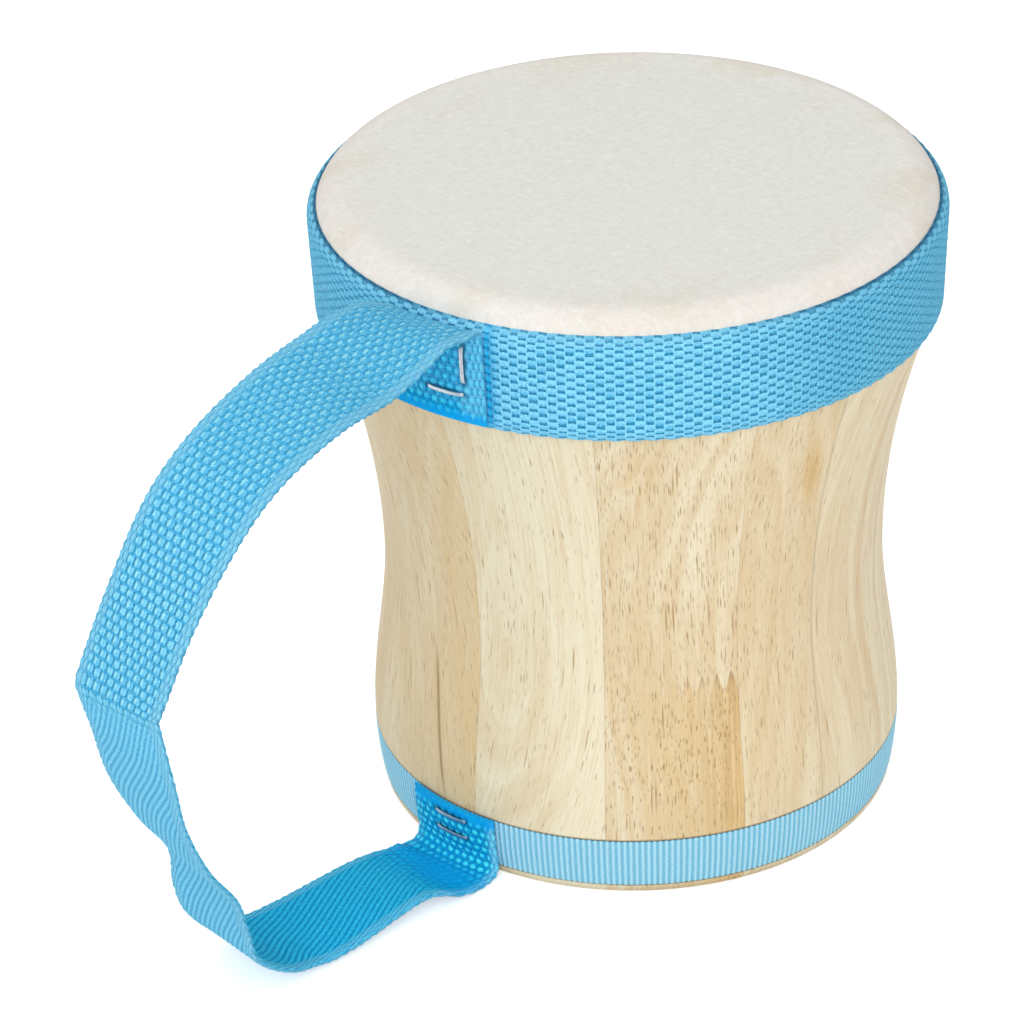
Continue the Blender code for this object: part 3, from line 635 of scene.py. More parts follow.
def webbing():
    """Sky-blue filament yarn: pale staggered bricks on the face with painted shade towards their lower ends
    and in the dashes between them, deep blue with painted glints on the crowns on the back, and slanted ribs
    with painted shade in their furrows on part of the strap."""
    material, wire, shader = start_finish("blue_webbing")
    cloth = stored(wire, "cloth", "Vector")
    back_face_and_shadow = stored(wire, "back_face_and_shadow")
    ribbed = stored(wire, "ribbed")
    calm = stored(wire, "calm")
    loose = noise(wire, stretched(wire, cloth, (0.9, 0.9, 1)), 1.0, 1.0) - 0.5
    slack = noise(wire, stretched(wire, cloth, (0.5, 0.5, 1)), 1.0, 1.0) - 0.5
    filament = noise(wire, stretched(wire, cloth, (9.0, 1.4, 1)), 1.0, 3.0)
    fleck = noise(wire, stretched(wire, cloth, (4.5, 4.5, 1)), 1.0, 2.0) - 0.5
    grit = noise(wire, stretched(wire, cloth, (4.6, 2.3, 1)), 1.0, 3.0)
    pick = part_of(wire, cloth, "X") + loose * 0.20
    yarn = part_of(wire, cloth, "Y") + slack * 0.24
    column = wire.math("ROUND", pick)
    side = wire.math("ABSOLUTE", pick - column)
    step = (yarn - wire.math("FLOORED_MODULO", column, 2.0) + 1) * 0.5
    row = wire.math("FLOOR", step)
    brick = (step - row) * 2
    middle = brick - 1
    spot = wire.node("ShaderNodeCombineXYZ", {}, {"X": column, "Y": row})
    chance = wire.node("ShaderNodeTexWhiteNoise", {"noise_dimensions": "2D"}, {"Vector": spot}) - 0.5
    open_weave = stored(wire, "open")
    worn_flat_and_unlit = stored(wire, "worn_flat_and_unlit")
    gap = eased(side + fleck * 0.14 + open_weave * 0.05, 0.34, 0.47)
    dash = wire.math("ABSOLUTE", brick - 0.34) - side * 0.6 + fleck * 0.45 + chance * 0.14
    dash = dash - worn_flat_and_unlit * (1 - open_weave) * 0.22
    dash = eased(dash, 0.50, 0.00) * (1 - gap) * (1 - open_weave * (worn_flat_and_unlit * 0.60 + 0.10))
    shade = eased(brick + fleck * 0.7 + chance * 0.6 - open_weave * 0.35, 1.80, 0.45)
    long_way = side * side * (5 - open_weave * 2.6)
    short_way = middle * middle * (open_weave * (worn_flat_and_unlit * 0.3 + 1.8) + 1)
    crown = eased(long_way + short_way + fleck * 0.9 + chance * 0.3, 0.55, 0.06)
    rib = part_of(wire, cloth, "X") + part_of(wire, cloth, "Y") + loose * 0.05
    rib = eased(cosine(rib * RIB_TURN) + fleck * 1.7, -0.95, 0.25)
    # Painted shade: each brick darkens towards its lower end, dark dashes lie between the bricks and dark
    # furrows between the ribs
    face = mixed(shade, WEB_PALE, WEB_BLUE)
    face = mixed(gap * 0.8, face, mixed(open_weave, WEB_PALE, WEB_GAP))
    # Plainer, darker bricks: painted shade on the band away from the light, and worn flat on the strap
    face = mixed(worn_flat_and_unlit, face, WEB_MID)
    face = mixed(dash * 0.88, face, WEB_HOLLOW_SHADE)
    face = mixed(ribbed, face, mixed(rib, WEB_FURROW_SHADE, WEB_RIB))
    pillow = eased(middle * middle + side * side * 4 + fleck, 0.9, 0.3)
    back = mixed(pillow, DEEP_HOLLOW_SHADE, DEEP_BLUE)
    back = mixed(ribbed, back, mixed(rib, DEEP_HOLLOW_SHADE, DEEP_RIB))
    # Painted glints on the crowns, and further down a fine painted sparkle from the grit
    painted_glint = crown * stored(wire, "painted_glint")
    hollow = mixed(back_face_and_shadow, WEB_HOLLOW_SHADE, DEEP_HOLLOW_SHADE)
    glint_colour = mixed(back_face_and_shadow, WEB_GLINT, DEEP_GLINT)
    colour = mixed(painted_glint, mixed(back_face_and_shadow, face, back), glint_colour)
    colour = mixed(eased(filament, 0.48, 0.78) * 0.30, colour, hollow)
    colour = mixed(eased(grit, 0.50, 0.72) * 0.40, colour, hollow)
    colour = mixed(eased(grit, 0.48, 0.26) * 0.55, colour, glint_colour)
    pale = stored(wire, "pale") * (0.70 - dash * 0.45)
    colour = mixed(pale, colour, mixed(back_face_and_shadow, PALE_EDGE, DEEP_EDGE))
    melted = mixed(eased(fleck, -0.2, 0.2), MELTED_BLUE, MELTED_SHINE)
    colour = mixed(calm * 0.90, colour, melted)
    # Painted shade along the band's top edge and round the strap's staples
    colour = mixed(stored(wire, "painted_shade") * 0.85, colour, PAINTED_SHADE_BLUE)
    height = (crown * 0.5 - dash * 0.8) * (1 - ribbed) + rib * ribbed * 0.7
    height = (height + filament * 0.30 + grit * 0.35) * (1 - calm * 0.8)
    feed(wire, shader, Base_Color=colour, Roughness=0.72 - crown * 0.14)
    feed(wire, shader, Normal=bumped(wire, height, 0.00026, 0.75), Specular_IOR_Level=0.06)
    return material


web_blue = webbing()
across = np.linspace(-WEBBING_WIDTH / 2, WEBBING_WIDTH / 2, WEBBING_ROWS)
yarns = yarn_count(across)
picks = np.linspace(0, BAND_PICKS, BAND_COLUMNS)
turns = BAND_JOIN + (JOIN_GAP + (math.tau - 2 * JOIN_GAP) * picks / BAND_PICKS)
relief = weave_relief(picks[:, None], yarns[None, :])
heights = BAND_BOTTOM + (BAND_TOP - BAND_BOTTOM) * (across / WEBBING_WIDTH + 0.5)
tip = ramp(heights, BEAD_TOP, BAND_TOP - BEAD_TOP)
outside = band_radius(heights) - BAND_TIP_LEAN * tip ** 3
above_bead = np.maximum(heights - BEAD_TOP, 0)
over_rim = flat_edge + np.sqrt(HEAD_ROUNDING ** 2 - above_bead ** 2) + RIM_CLEARANCE
inside = outside - BAND_THICKNESS
inside = np.where(heights > BEAD_TOP, np.maximum(inside, over_rim), inside)
thick = (outside - inside) * rounded_edge(across)
outer = inside + thick - np.minimum(WEAVE_DEPTH, thick * 0.5) * (1 - relief)
ripple = EDGE_RIPPLE * (weave_relief(picks[:, None] + 0.5, 0 * across[None, :]) - 0.5)
sway = ripple * np.sign(across) * ramp(np.abs(across), RIPPLE_START, RIPPLE_RUN)
front = around(outer, turns[:, None], heights[None, :] + sway)
back_rows = np.array([WEBBING_ROWS - 1, WEBBING_ROWS - 6, WEBBING_ROWS - 12, WEBBING_ROWS // 2, 0])
back = around(inside[None, back_rows], turns[:, None], heights[None, back_rows])
points = np.concatenate([front, back], axis=1)
band = add_piece("webbing_band", points, lofted_faces(*points.shape[:2]), web_blue)
lie = np.stack(np.broadcast_arrays(picks[:, None], yarns[None, :], 0.0), axis=-1)
keep_value(band, "cloth", np.concatenate([lie, lie[:, back_rows]], axis=1))
flat = np.zeros(points.shape[:2])
for kind in ("ribbed", "calm", "open"):
    keep_value(band, kind, flat)
# Painted light: the band is paler on the side facing the light and plainer and darker away from it, and a
# painted shadow line lies beside the strap's end
facing_light = 0.5 + 0.5 * np.cos(turns - LIT_SIDE)
away_from_light = ramp(facing_light, 0.965, -0.10)[:, None]
keep_value(band, "worn_flat_and_unlit", flat + 0.58 * away_from_light)
keep_value(band, "painted_glint", flat + 0.15 * away_from_light)
# Painted shadow on the band beside the edge of the strap's top lap
beside_lap = (turns - LAP_EDGE) / LAP_SHADE
keep_value(band, "back_face_and_shadow", flat + 0.9 * np.exp(-beside_lap ** 2)[:, None])
strip = ramp(np.abs(across), WEBBING_WIDTH / 2 - BAND_STRIP, STRIP_FADE)
keep_value(band, "pale", flat + 0.5 * np.concatenate([strip, strip[back_rows]]))
# A painted shadow line along the top edge, where the band meets the hide, darker away from the light
top_edge_shadow = flat.copy()
top_edge_shadow[:, WEBBING_ROWS - 2:WEBBING_ROWS + 2] = 0.15 + 0.75 * away_from_light
keep_value(band, "painted_shade", top_edge_shadow)
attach(band, "drum")
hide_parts("rim_band")


# Foot ribbon
# A grosgrain ribbon, ribbed across its width, is glued into the shallow groove turned round the foot.
# It stands a touch proud of the wood, its ribs scallop its edges, and its ends meet under the strap.

RIBBON_BOTTOM = 0.0022
RIBBON_WIDTH = 0.0125
RIBBON_THICKNESS = 0.0005
RIBBON_PROUD = 0.0001
RIBBON_JOIN = math.radians(-3.7)
RIBBON_RIBS = 286
RIB_POINTS = 7
RIB_DEPTH = 0.00020
RIB_SCALLOP = 0.00022
THREAD_PITCH = 0.00055
RIBBON_ROWS = 22

RIBBON_FURROW_SHADE = (0.200, 0.520, 0.710)
RIBBON_BLUE = (0.340, 0.680, 0.850)
RIBBON_HIGHLIGHT = (0.560, 0.860, 0.960)


def grosgrain():
    """Fine pale rep: rounded ribs with painted highlights on their crests and painted shade in their furrows,
    each crossed by close darker thread lines.
    """
    material, wire, shader = start_finish("blue_grosgrain")
    cloth = stored(wire, "cloth", "Vector")
    loose = noise(wire, stretched(wire, cloth, (0.6, 0.8, 1)), 1.0, 1.0) - 0.5
    wave = cosine((part_of(wire, cloth, "X") + loose * 0.25) * math.tau)
    thread = cosine(part_of(wire, cloth, "Y") * math.tau)
    fleck = noise(wire, stretched(wire, cloth, (3.0, 2.2, 1)), 1.0, 3.0)
    relief = eased(wave + (fleck - 0.5) * 0.8, -1.0, 0.1)
    crown = eased(wave + (fleck - 0.5) * 1.4, 0.2, 1.1)
    colour = mixed(relief, RIBBON_FURROW_SHADE, RIBBON_BLUE)
    colour = mixed(crown * 0.70, colour, RIBBON_HIGHLIGHT)
    colour = mixed(eased(thread, 0.2, -0.9) * 0.38, colour, RIBBON_FURROW_SHADE)
    height = relief + thread * 0.12
    feed(wire, shader, Base_Color=colour, Normal=bumped(wire, height, 0.00016, 0.6))
    feed(wire, shader, Roughness=0.7, Specular_IOR_Level=0.08)
    return material


ribs = np.linspace(0, RIBBON_RIBS, 1 + RIBBON_RIBS * RIB_POINTS)
turns = RIBBON_JOIN + JOIN_GAP + (math.tau - 2 * JOIN_GAP) * ribs / RIBBON_RIBS
crest = 0.5 + 0.5 * np.cos(math.tau * ribs)
across = np.linspace(0, 1, RIBBON_ROWS)
near_edge = ramp(np.abs(across - 0.5), 0.42, 0.08)
scallop = np.outer(crest - 0.5, np.sign(across - 0.5) * near_edge)
heights = RIBBON_BOTTOM + RIBBON_WIDTH * across[None, :] + scallop * RIB_SCALLOP
outer = shell_radius(heights) + RIBBON_PROUD
edge = 0.35 + 0.65 * ramp(np.minimum(across, 1 - across), 0, 0.05)
front = around(outer - RIB_DEPTH * (1 - crest[:, None] * edge[None, :]), turns[:, None], heights)
back_rows = np.array([RIBBON_ROWS - 1, RIBBON_ROWS // 2, 0])
back = around((outer - RIBBON_THICKNESS)[:, back_rows], turns[:, None], heights[:, back_rows])
points = np.concatenate([front, back], axis=1)
ribbon = add_piece("grosgrain_ribbon", points, lofted_faces(*points.shape[:2]), grosgrain())
lie = np.stack(np.broadcast_arrays(ribs[:, None], heights / THREAD_PITCH, 0.0), axis=-1)
keep_value(ribbon, "cloth", np.concatenate([lie, lie[:, back_rows]], axis=1))
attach(ribbon, "drum")
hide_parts("base_ribbon")


# Hand strap
# One more length of the webbing is stapled over the band, folds out under the rim, loops down with
# a crease half way, lies on the table and turns up to be stapled over the ribbon. Its ends are melted.

STRAP_THICKNESS = 0.0014
STRAP_FLOOR = 0.0010
STRAP_TOP = 0.1485
TOP_FOLD_START = 0.1467
TOP_FOLD_RADIUS = 0.0018
TOP_LAP_BOTTOM = 0.1251
TOP_LAP_ANGLE = math.radians(4.0)
BOTTOM_LAP_TOP = 0.0153
BOTTOM_LAP_ANGLE = math.radians(-3.7)
FOOT_BEND_START = 0.0045
FOOT_BEND_RADIUS = 0.0035
FOOT_BEND_SLANT = math.radians(1.0)
LAP_CLEARANCE = 0.0010
MELTED_END = 0.0016
SELVEDGE_SCALLOP = 0.00018
STRAP_STRIP = 0.0027
CHAIN_EDGE = 0.0017
STRAP_STANDOFF = 0.0980
STRAP_LEAN = 0.0100
STRAP_STEP = 0.0006
SECTION_POINTS = 9
CROWN_LENGTH = 0.0095
CROWN_GAP = 0.00025
PRESSED_REACH = 0.00080
SWELLING_AWAY = 0.0017
SWELLING_REACH = 0.0011
SWELLING = 0.00032
PRESSED_DEPTH = 0.00010

# Places along the free loop: shares of its stand-off, lean and height, and its twist in degrees
UPPER_RUN = (
    (0.099, 0.50, 1.0141, -7),
    (0.192, 0.57, 1.0107, -17),
    (0.285, 0.59, 1.0020, -20),
    (0.454, 0.64, 0.9949, -14),
    (0.643, 0.57, 0.9552, -9),
    (0.779, 0.40, 0.8863, -6),
    (0.902, 0.14, 0.7746, 1),
)
CREASE = (1.000, -0.21, 0.6430, 3)
LOWER_RUN = (
    (0.977, -0.20, 0.5467, 6),
    (0.928, -0.50, 0.4350, 9),
    (0.856, -0.63, 0.3263, 12),
    (0.769, -0.78, 0.2346, 12),
    (0.743, -0.94, 0.1575, 7),
    (0.717, -0.99, 0.0976, 8),
    (0.629, -1.04, 0.0360, 3),
    (0.536, -1.08, 0.0125, 3),
    (0.432, -0.90, 0.0101, 2),
    (0.206, -0.59, 0.0215, -4),
    (0.099, -0.32, 0.0092, 4),
)


def top_lap_radius(height):
    return float(band_radius(height)) + LAP_CLEARANCE


def foot_lap_radius(height):
    under = np.minimum(height, RIBBON_BOTTOM + RIBBON_WIDTH)
    return float(shell_radius(under)) + RIBBON_PROUD + LAP_CLEARANCE


def lap_section(angle, radius, height):
    shares = np.linspace(-1, 1, SECTION_POINTS)
    return around(radius, angle + shares * WEBBING_WIDTH / 2 / radius, height)


def loop_station(standoff_share, lean_share, height_share, twist):
    """A place on the free loop, from the line between the strap's two ends."""
    foot = foot_lap_radius(FOOT_BEND_START)
    reach = foot + (top_lap_radius(TOP_FOLD_START) - foot) * height_share
    reach += STRAP_STANDOFF * standoff_share
    height = STRAP_FLOOR + (STRAP_TOP - STRAP_FLOOR) * height_share
    return np.array([-reach, -STRAP_LEAN * lean_share, height, twist])


def drum_station(reach, angle, height):
    return np.append(around(reach, angle, height), 0.0)


def smooth_through(stations, spans):
    """A smooth curve through the stations, with this many steps between two of them."""
    padded = [2 * stations[0] - stations[1]] + stations + [2 * stations[-1] - stations[-2]]
    curve = []
    for before, here, there, after in zip(padded, padded[1:], padded[2:], padded[3:]):
        leaving = (there - before) / 2
        arriving = (after - here) / 2
        for t in np.linspace(0, 1, spans, endpoint=False):
            travel = (there - here) * (3 - 2 * t) * t * t
            curve.append(here + travel + leaving * t * (1 - t) ** 2 - arriving * t * t * (1 - t))
    curve.append(stations[-1])
    return np.array(curve)


def free_sections(stations):
    """Flat sections of the strap along a smooth run, turned by the twist at each place."""
    route = smooth_through(stations, 8)
    along = np.gradient(route[:, :3], axis=0)
    along /= np.linalg.norm(along, axis=1, keepdims=True)
    side = np.array([0.0, -1.0, 0.0]) - along * -along[:, 1:2]
    side /= np.linalg.norm(side, axis=1, keepdims=True)
    twist = np.radians(route[:, 3:4])
    side = side * np.cos(twist) + np.cross(along, side) * np.sin(twist)
    shares = np.linspace(-1, 1, SECTION_POINTS) * WEBBING_WIDTH / 2
    return route[:, None, :3] + side[:, None, :] * shares[None, :, None]


def strap_middle():
    """Sections of the strap's middle surface, from the stapled top end to the stapled foot end."""
    top = top_lap_radius(TOP_FOLD_START)
    foot = foot_lap_radius(FOOT_BEND_START)
    lap = np.linspace(TOP_LAP_BOTTOM, TOP_FOLD_START, 8)
    laid = [lap_section(TOP_LAP_ANGLE, top_lap_radius(z), z) for z in lap]
    for lean in np.linspace(0, math.pi / 2, 7)[1:]:
        out = top + TOP_FOLD_RADIUS * (1 - math.cos(lean))
        laid.append(lap_section(TOP_LAP_ANGLE, out, TOP_FOLD_START + TOP_FOLD_RADIUS * math.sin(lean)))
    crease = loop_station(*CREASE)
    upper = [drum_station(top + TOP_FOLD_RADIUS, TOP_LAP_ANGLE, STRAP_TOP)]
    upper += [loop_station(*station) for station in UPPER_RUN] + [crease]
    lower = [crease] + [loop_station(*station) for station in LOWER_RUN]
    lower.append(drum_station(foot + FOOT_BEND_RADIUS, BOTTOM_LAP_ANGLE + FOOT_BEND_SLANT, STRAP_FLOOR))
    turned = []
    for lean in np.linspace(math.pi / 2, 0, 7)[:-1]:
        out = foot + FOOT_BEND_RADIUS * (1 - math.cos(lean))
        angle = BOTTOM_LAP_ANGLE + FOOT_BEND_SLANT * math.sin(lean)
        turned.append(lap_section(angle, out, FOOT_BEND_START - FOOT_BEND_RADIUS * math.sin(lean)))
    for z in np.linspace(FOOT_BEND_START, BOTTOM_LAP_TOP, 5):
        turned.append(lap_section(BOTTOM_LAP_ANGLE, foot_lap_radius(z), z))
    runs = [np.array(laid), free_sections(upper)[1:-1], free_sections(lower)[:-1], np.array(turned)]
    return np.concatenate(runs)


def resampled(sections, step, rows):
    """The same surface on an even grid: this step along its middle line and this many points across."""
    spine = sections[:, SECTION_POINTS // 2]
    travelled = np.append(0, np.cumsum(np.linalg.norm(np.diff(spine, axis=0), axis=1)))
    places = np.linspace(0, travelled[-1], int(travelled[-1] / step) + 1)
    lines = sections.transpose(1, 2, 0)
    long_way = np.array([[np.interp(places, travelled, line) for line in column] for column in lines])
    shares = np.linspace(0, SECTION_POINTS - 1, rows)
    low = np.minimum(shares.astype(int), SECTION_POINTS - 2)
    part = (shares - low)[:, None, None]
    fine = long_way[low] * (1 - part) + long_way[low + 1] * part
    kernel = np.hanning(7) / np.hanning(7).sum()
    padded = np.pad(fine, ((0, 0), (0, 0), (3, 3)), mode="reflect", reflect_type="odd")
    smooth = np.apply_along_axis(lambda line: np.convolve(line, kernel, "valid"), 2, padded)
    return places, smooth.transpose(2, 0, 1)


# Each staple of the strap: angle, height, the radius that its end is laid to, and whether it stands upright
staple_seats = {"strap_top_staple_1": (math.radians(10.3), BAND_TOP - 0.0092, top_lap_radius, True)}
staple_seats["strap_top_staple_2"] = (math.radians(6.5), BAND_TOP - 0.0167, top_lap_radius, False)
for order, drop in enumerate((0.0019, 0.0065)):
    height = RIBBON_BOTTOM + RIBBON_WIDTH - drop
    staple_seats[f"strap_bottom_staple_{order + 1}"] = (math.radians(-3.4), height, foot_lap_radius, False)


def staple_frame(angle, height, lap_radius, upright):
    """Middle of a crown's underside, and the directions along it, out of the drum and across the wire."""
    seat = lap_radius(height) + STRAP_THICKNESS / 2 + CROWN_GAP
    out = around(1.0, angle, 0.0)
    along = np.array([math.sin(angle), -math.cos(angle), 0.0])
    if upright:
        along = np.array([0.0, 0.0, 1.0]) + out * BAND_FLARE / (BEAD_TOP - BAND_BOTTOM)
        along /= np.linalg.norm(along)
        out = out - along * (out @ along)
    return around(seat, angle, height), along, out, np.cross(along, out)


places, middle = resampled(strap_middle(), STRAP_STEP, WEBBING_ROWS)
length = places[-1]
facing = np.cross(np.gradient(middle, axis=1), np.gradient(middle, axis=0))
facing /= np.linalg.norm(facing, axis=2, keepdims=True)
across = np.linspace(-WEBBING_WIDTH / 2, WEBBING_WIDTH / 2, WEBBING_ROWS)
yarns = yarn_count(across)

# The melted ends run ragged, the free edges are scalloped by the picks, and staples press the weave in, with
# painted shade round each one
ragged = 0.0004 * np.sin(across * 2100) + 0.0003 * np.sin(across * 5300 + 1)
from_end = np.minimum(places, length - places)[:, None] + ragged[None, :]
woven = ramp(from_end, MELTED_END * 0.6, MELTED_END * 0.6)
half = STRAP_THICKNESS / 2
bulge = np.sign(across) * (np.abs(across) / across.max()) ** 8
scallop = SELVEDGE_SCALLOP * np.cos(math.tau * places / PICK_PITCH)[:, None] * bulge
sideways = np.gradient(middle, axis=1)
sideways /= np.linalg.norm(sideways, axis=2, keepdims=True)
middle = middle + sideways * (scallop * (places > 0.024)[:, None])[:, :, None]
painted_shade = np.zeros(middle.shape[:2])
swollen = np.zeros(middle.shape[:2])
for seat in staple_seats.values():
    origin, along, out, side = staple_frame(*seat)
    away = middle - origin
    past = np.maximum(np.abs(away @ along) - CROWN_LENGTH / 2, 0)
    near = np.hypot(past, away @ side)
    close = np.abs(away @ out) < 0.004
    painted_shade = np.maximum(painted_shade, close * np.exp(-(near / PRESSED_REACH) ** 2))
    beside = (near - SWELLING_AWAY) / SWELLING_REACH
    swollen = np.maximum(swollen, close * np.exp(-beside ** 2))

# It is smooth in the hollow where it turns up at the foot, worn flat above, and slanted ribs with painted
# shade in their furrows run past the crease
trough_along = np.exp(-((places - (length - 0.0225)) / 0.0055) ** 2)
trough_across = np.exp(-((across - 0.002) / 0.014) ** 2)
trough = trough_along[:, None] * trough_across[None, :]
from_crease = middle[:, WEBBING_ROWS // 2] - loop_station(*CREASE)[:3]
crease = places[np.argmin(np.linalg.norm(from_crease, axis=1))]
drawn = ramp(places, crease, 0.004) * ramp(places, length - 0.026, -0.008)
drawn = 0.9 * drawn[:, None]
strap_picks = places[:, None] / PICK_PITCH
relief_back = weave_relief(strap_picks, yarns[None, :], drawn) * woven * (1 - 0.8 * trough)
smooth = np.interp(places, (0.045, 0.085, 0.118, crease), (0.72, 0.58, 0.15, 0.25))[:, None]
relief_face = weave_relief(strap_picks + 1, yarns[None, :], drawn) * woven
relief_face = 1 - (1 - relief_face) * (1 - 0.85 * smooth * (1 - drawn))
edge = rounded_edge(across)
thick_back = (half - WEAVE_DEPTH * (1 - relief_back)) * edge + SWELLING * swollen - PRESSED_DEPTH * painted_shade
thick_face = (half - WEAVE_DEPTH * (1 - relief_face)) * edge
back_side = middle + facing * thick_back[:, :, None]
face_side = (middle - facing * thick_face[:, :, None])[:, ::-1]
points = np.concatenate([back_side, face_side], axis=1)
strap = add_piece("hand_strap", points, lofted_faces(*points.shape[:2]), web_blue)
lie = np.stack(np.broadcast_arrays(strap_picks, yarns[None, :], 0.0), axis=-1)
keep_value(strap, "cloth", np.concatenate([lie, lie[:, ::-1] + (1, 0, 40)], axis=1))

# Its back shows on the two stapled ends, deep blue with painted glints on its crowns; its worn face shows on
# the loop.
# Places along it are metres from its top end, or back from its foot end.
flat = np.zeros(middle.shape[:2])
near_top = ramp(places, 0.030, -0.004)[:, None]
foot_run = ramp(places - length, -0.034, 0.006)[:, None]
tint = 1 - 0.18 * near_top * ramp(places, 0.003, 0.003)[:, None]
strip = ramp(np.abs(across), WEBBING_WIDTH / 2 - STRAP_STRIP, STRIP_FADE) + flat
lap_strip = near_top * ramp(across, 0.0060, 0.0020)
chain = foot_run * ramp(across, WEBBING_WIDTH / 2 - CHAIN_EDGE, 0.0006)
pale = np.maximum(np.maximum(strip * (0.6 - 0.35 * foot_run), chain), lap_strip * 0.6)
melted = 1 - ramp(from_end, MELTED_END, MELTED_END * 0.8)
top_glints = ramp(places, 0.028, -0.004) * 0.50
foot_glints = ramp(places - length, -0.020, 0.004)
back_glints = np.maximum(top_glints, foot_glints)[:, None]
for kind, on_back, on_face in (
    ("back_face_and_shadow", tint, 0),
    ("ribbed", drawn, drawn),
    ("pale", pale, strip[:, ::-1] * 0.7),
    ("calm", np.maximum(melted, trough), melted[:, ::-1]),
    ("painted_shade", painted_shade, 0),
    ("open", 0, 1),
    ("worn_flat_and_unlit", 0, smooth),
    ("painted_glint", back_glints, 0.74 * (1 - drawn) * (1 - 0.4 * smooth)),
):
    keep_value(strap, kind, np.concatenate([flat + on_back, flat + on_face], axis=1))
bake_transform(strap)
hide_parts("strap_top_lap", "strap_loop", "strap_bottom_lap")


# Staples
# Bright flat wire, driven with a staple gun: two hold each end of the strap, pressed into the weave,
# and one to a stave holds the hide under the band, where it doesn't show.

WIRE_THICKNESS = 0.00045
WIRE_WIDTH = 0.0009
STAPLE_LEG = 0.0088
LEG_SHOULDER = 0.004
BEND_RADIUS = 0.0006
CROWN_SINK = 0.00022
WIRE_POINTS = 16

ZINC_BRIGHT = (0.620, 0.650, 0.680)
ZINC_DULL = (0.360, 0.390, 0.430)
ZINC_BLUE_REFLECTION = (0.100, 0.260, 0.420)


def steel():
    """Zinc-bright wire with fine drawing lines and dull scuffs; the pair at the foot has a painted bluish
    reflection of the webbing.
    """
    material, wire, shader = start_finish("staple_wire")
    place = wire.node("ShaderNodeTexCoord", {}, {}, "Object")
    scuff = noise(wire, place, 1400.0, 3.0)
    drawn = noise(wire, stretched(wire, place, (900, 900, 5000)), 1.0, 2.0)
    colour = mixed(eased(scuff, 0.40, 0.70) * 0.6, ZINC_BRIGHT, ZINC_DULL)
    colour = mixed(stored(wire, "blue_reflection") * 0.55, colour, ZINC_BLUE_REFLECTION)
    feed(wire, shader, Base_Color=colour, Roughness=scuff * 0.25 + 0.28)
    feed(wire, shader, Normal=bumped(wire, drawn, 0.00003, 0.5), Metallic=0.9)
    return material


def make_staple(name, seat, material):
    """Flat wire bent to a U, with its crown bowed a hair so that its ends sink into the weave."""
    origin, along, out, side = staple_frame(*seat)
    bow = 0.0 if seat[3] else CROWN_LENGTH ** 2 / 8 / (seat[2](seat[1]) + STRAP_THICKNESS / 2)
    half = (CROWN_LENGTH - WIRE_THICKNESS) / 2
    route = [(-half, -STAPLE_LEG), (-half, -LEG_SHOULDER)]
    for turn in np.linspace(0, math.pi / 2, 5):
        corner = -half + BEND_RADIUS * (1 - math.cos(turn))
        route.append((corner, -bow - CROWN_SINK + BEND_RADIUS * (math.sin(turn) - 1)))
    for share in (-0.6, -0.3):
        route.append((half * share, -bow * share * share - CROWN_SINK * share ** 4))
    route.append((0.0, 0.0))
    route += [(-s, d) for s, d in route[-2::-1]]
    route = np.array(route)
    ahead = np.gradient(route, axis=0)
    ahead /= np.linalg.norm(ahead, axis=1, keepdims=True)
    lift = np.stack([-ahead[:, 1], ahead[:, 0]], axis=-1)
    spine = origin + np.outer(route[:, 0], along) + np.outer(route[:, 1] + WIRE_THICKNESS / 2, out)
    upward = np.outer(lift[:, 0], along) + np.outer(lift[:, 1], out)
    section = []
    for turn in np.linspace(0, math.tau, WIRE_POINTS, endpoint=False):
        wide = math.copysign(abs(math.cos(turn)) ** 0.5, math.cos(turn)) * WIRE_WIDTH / 2
        tall = math.copysign(abs(math.sin(turn)) ** 0.6, math.sin(turn)) * WIRE_THICKNESS / 2
        section.append(spine + side * wide + upward * tall)
    points = np.array(section).swapaxes(0, 1)
    staple = add_piece(name + "_wire", points, lofted_faces(*points.shape[:2]), material)
    # The pair at the foot gets a painted reflection of the blue webbing
    keep_value(staple, "blue_reflection", np.full(points.shape[:2], float(origin[2] < BAND_BOTTOM / 2)))
    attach(staple, "drum")
    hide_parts(name)


wire_steel = steel()
for name, seat in staple_seats.items():
    make_staple(name, seat, wire_steel)
for name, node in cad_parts.items():
    if name.startswith("hide_staple"):
        node.data.materials.clear()
        node.data.materials.append(wire_steel)


# Studio
# A pale floor under soft light, with the camera where the photograph was taken from.

CAMERA_PLACE = (-0.7604, -0.6268, 0.6342)
CAMERA_TURN = (60.0376, 1.5717, -49.7729)
CAMERA_LENS = 171.82
SENSOR_WIDTH = 36.0
DRUM_MIDDLE = (0, 0, 0.07)
WORLD_LIGHT = 0.58
FLOOR_REACH = 3.0
FLOOR_PALE = (0.92, 0.92, 0.92)
FLOOR_WHITE = (0.94, 0.94, 0.94)
FLOOR_DARK = (0.0, 0.0, 0.0)
FLOOR_GLOW = (0.44, 0.44, 0.44)

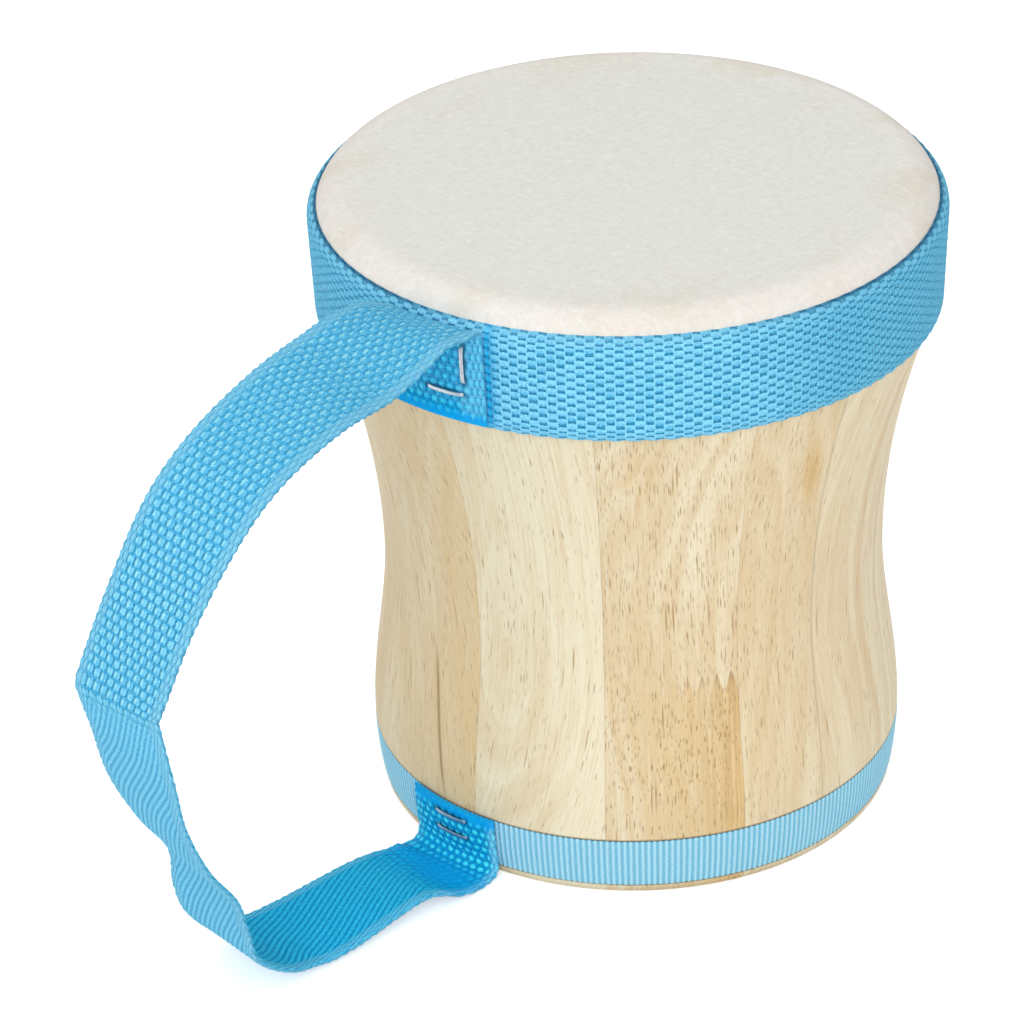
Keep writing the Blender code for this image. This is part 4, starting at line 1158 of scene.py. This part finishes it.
camera = bpy.data.cameras.new("camera")
camera.lens = CAMERA_LENS
camera.sensor_width = SENSOR_WIDTH
camera.clip_start = 0.05
eye = bpy.data.objects.new("camera", camera)
eye.location = CAMERA_PLACE
eye.rotation_euler = [math.radians(angle) for angle in CAMERA_TURN]
bpy.context.scene.collection.objects.link(eye)
bpy.context.scene.camera = eye


def soft_lamp(name, place, aim, size, power):
    """A square soft box at a place, turned to the aim."""
    lamp = bpy.data.lights.new(name, "AREA")
    lamp.size = size
    lamp.energy = power
    holder = bpy.data.objects.new(name, lamp)
    holder.location = place
    direction = np.array(aim) - np.array(place)
    flat = math.hypot(direction[0], direction[1])
    holder.rotation_euler = (math.atan2(flat, -direction[2]), 0, math.atan2(-direction[0], direction[1]))
    bpy.context.scene.collection.objects.link(holder)


soft_lamp("front_softbox", (-1.50, -1.08, 1.35), DRUM_MIDDLE, 1.6, 24.5)
soft_lamp("side_softbox", (-1.40, 0.75, 0.90), DRUM_MIDDLE, 1.2, 2.2)
soft_lamp("top_softbox", (0.3, 0.2, 2.0), DRUM_MIDDLE, 2.0, 8)

world = bpy.data.worlds.new("studio")
bpy.context.scene.world = world
world.use_nodes = True
sky = world.node_tree.nodes["Background"]
sky.inputs["Color"].default_value = (1.0, 1.0, 1.0, 1.0)
sky.inputs["Strength"].default_value = WORLD_LIGHT

material, wire, shader = start_finish("pale_floor")
seen = wire.node("ShaderNodeLightPath", {}, {}, "Is Camera Ray")
for ray in ("Is Glossy Ray", "Is Transmission Ray"):
    seen = wire.math("MAXIMUM", seen, wire.node("ShaderNodeLightPath", {}, {}, ray))
grain = noise(wire, wire.node("ShaderNodeTexCoord", {}, {}, "Object"), 2.0, 2.0)
feed(wire, shader, Base_Color=mixed(grain, FLOOR_PALE, FLOOR_WHITE), Roughness=0.9)
feed(wire, shader, Emission_Color=mixed(seen, FLOOR_DARK, FLOOR_GLOW), Emission_Strength=1.0)
corners = FLOOR_REACH * np.array([(-1, -1, 0), (1, -1, 0), (1, 1, 0), (-1, 1, 0)])
add_piece("floor", corners, [[0, 1, 2, 3]], material)
bpy.context.scene.view_settings.view_transform = "Standard"
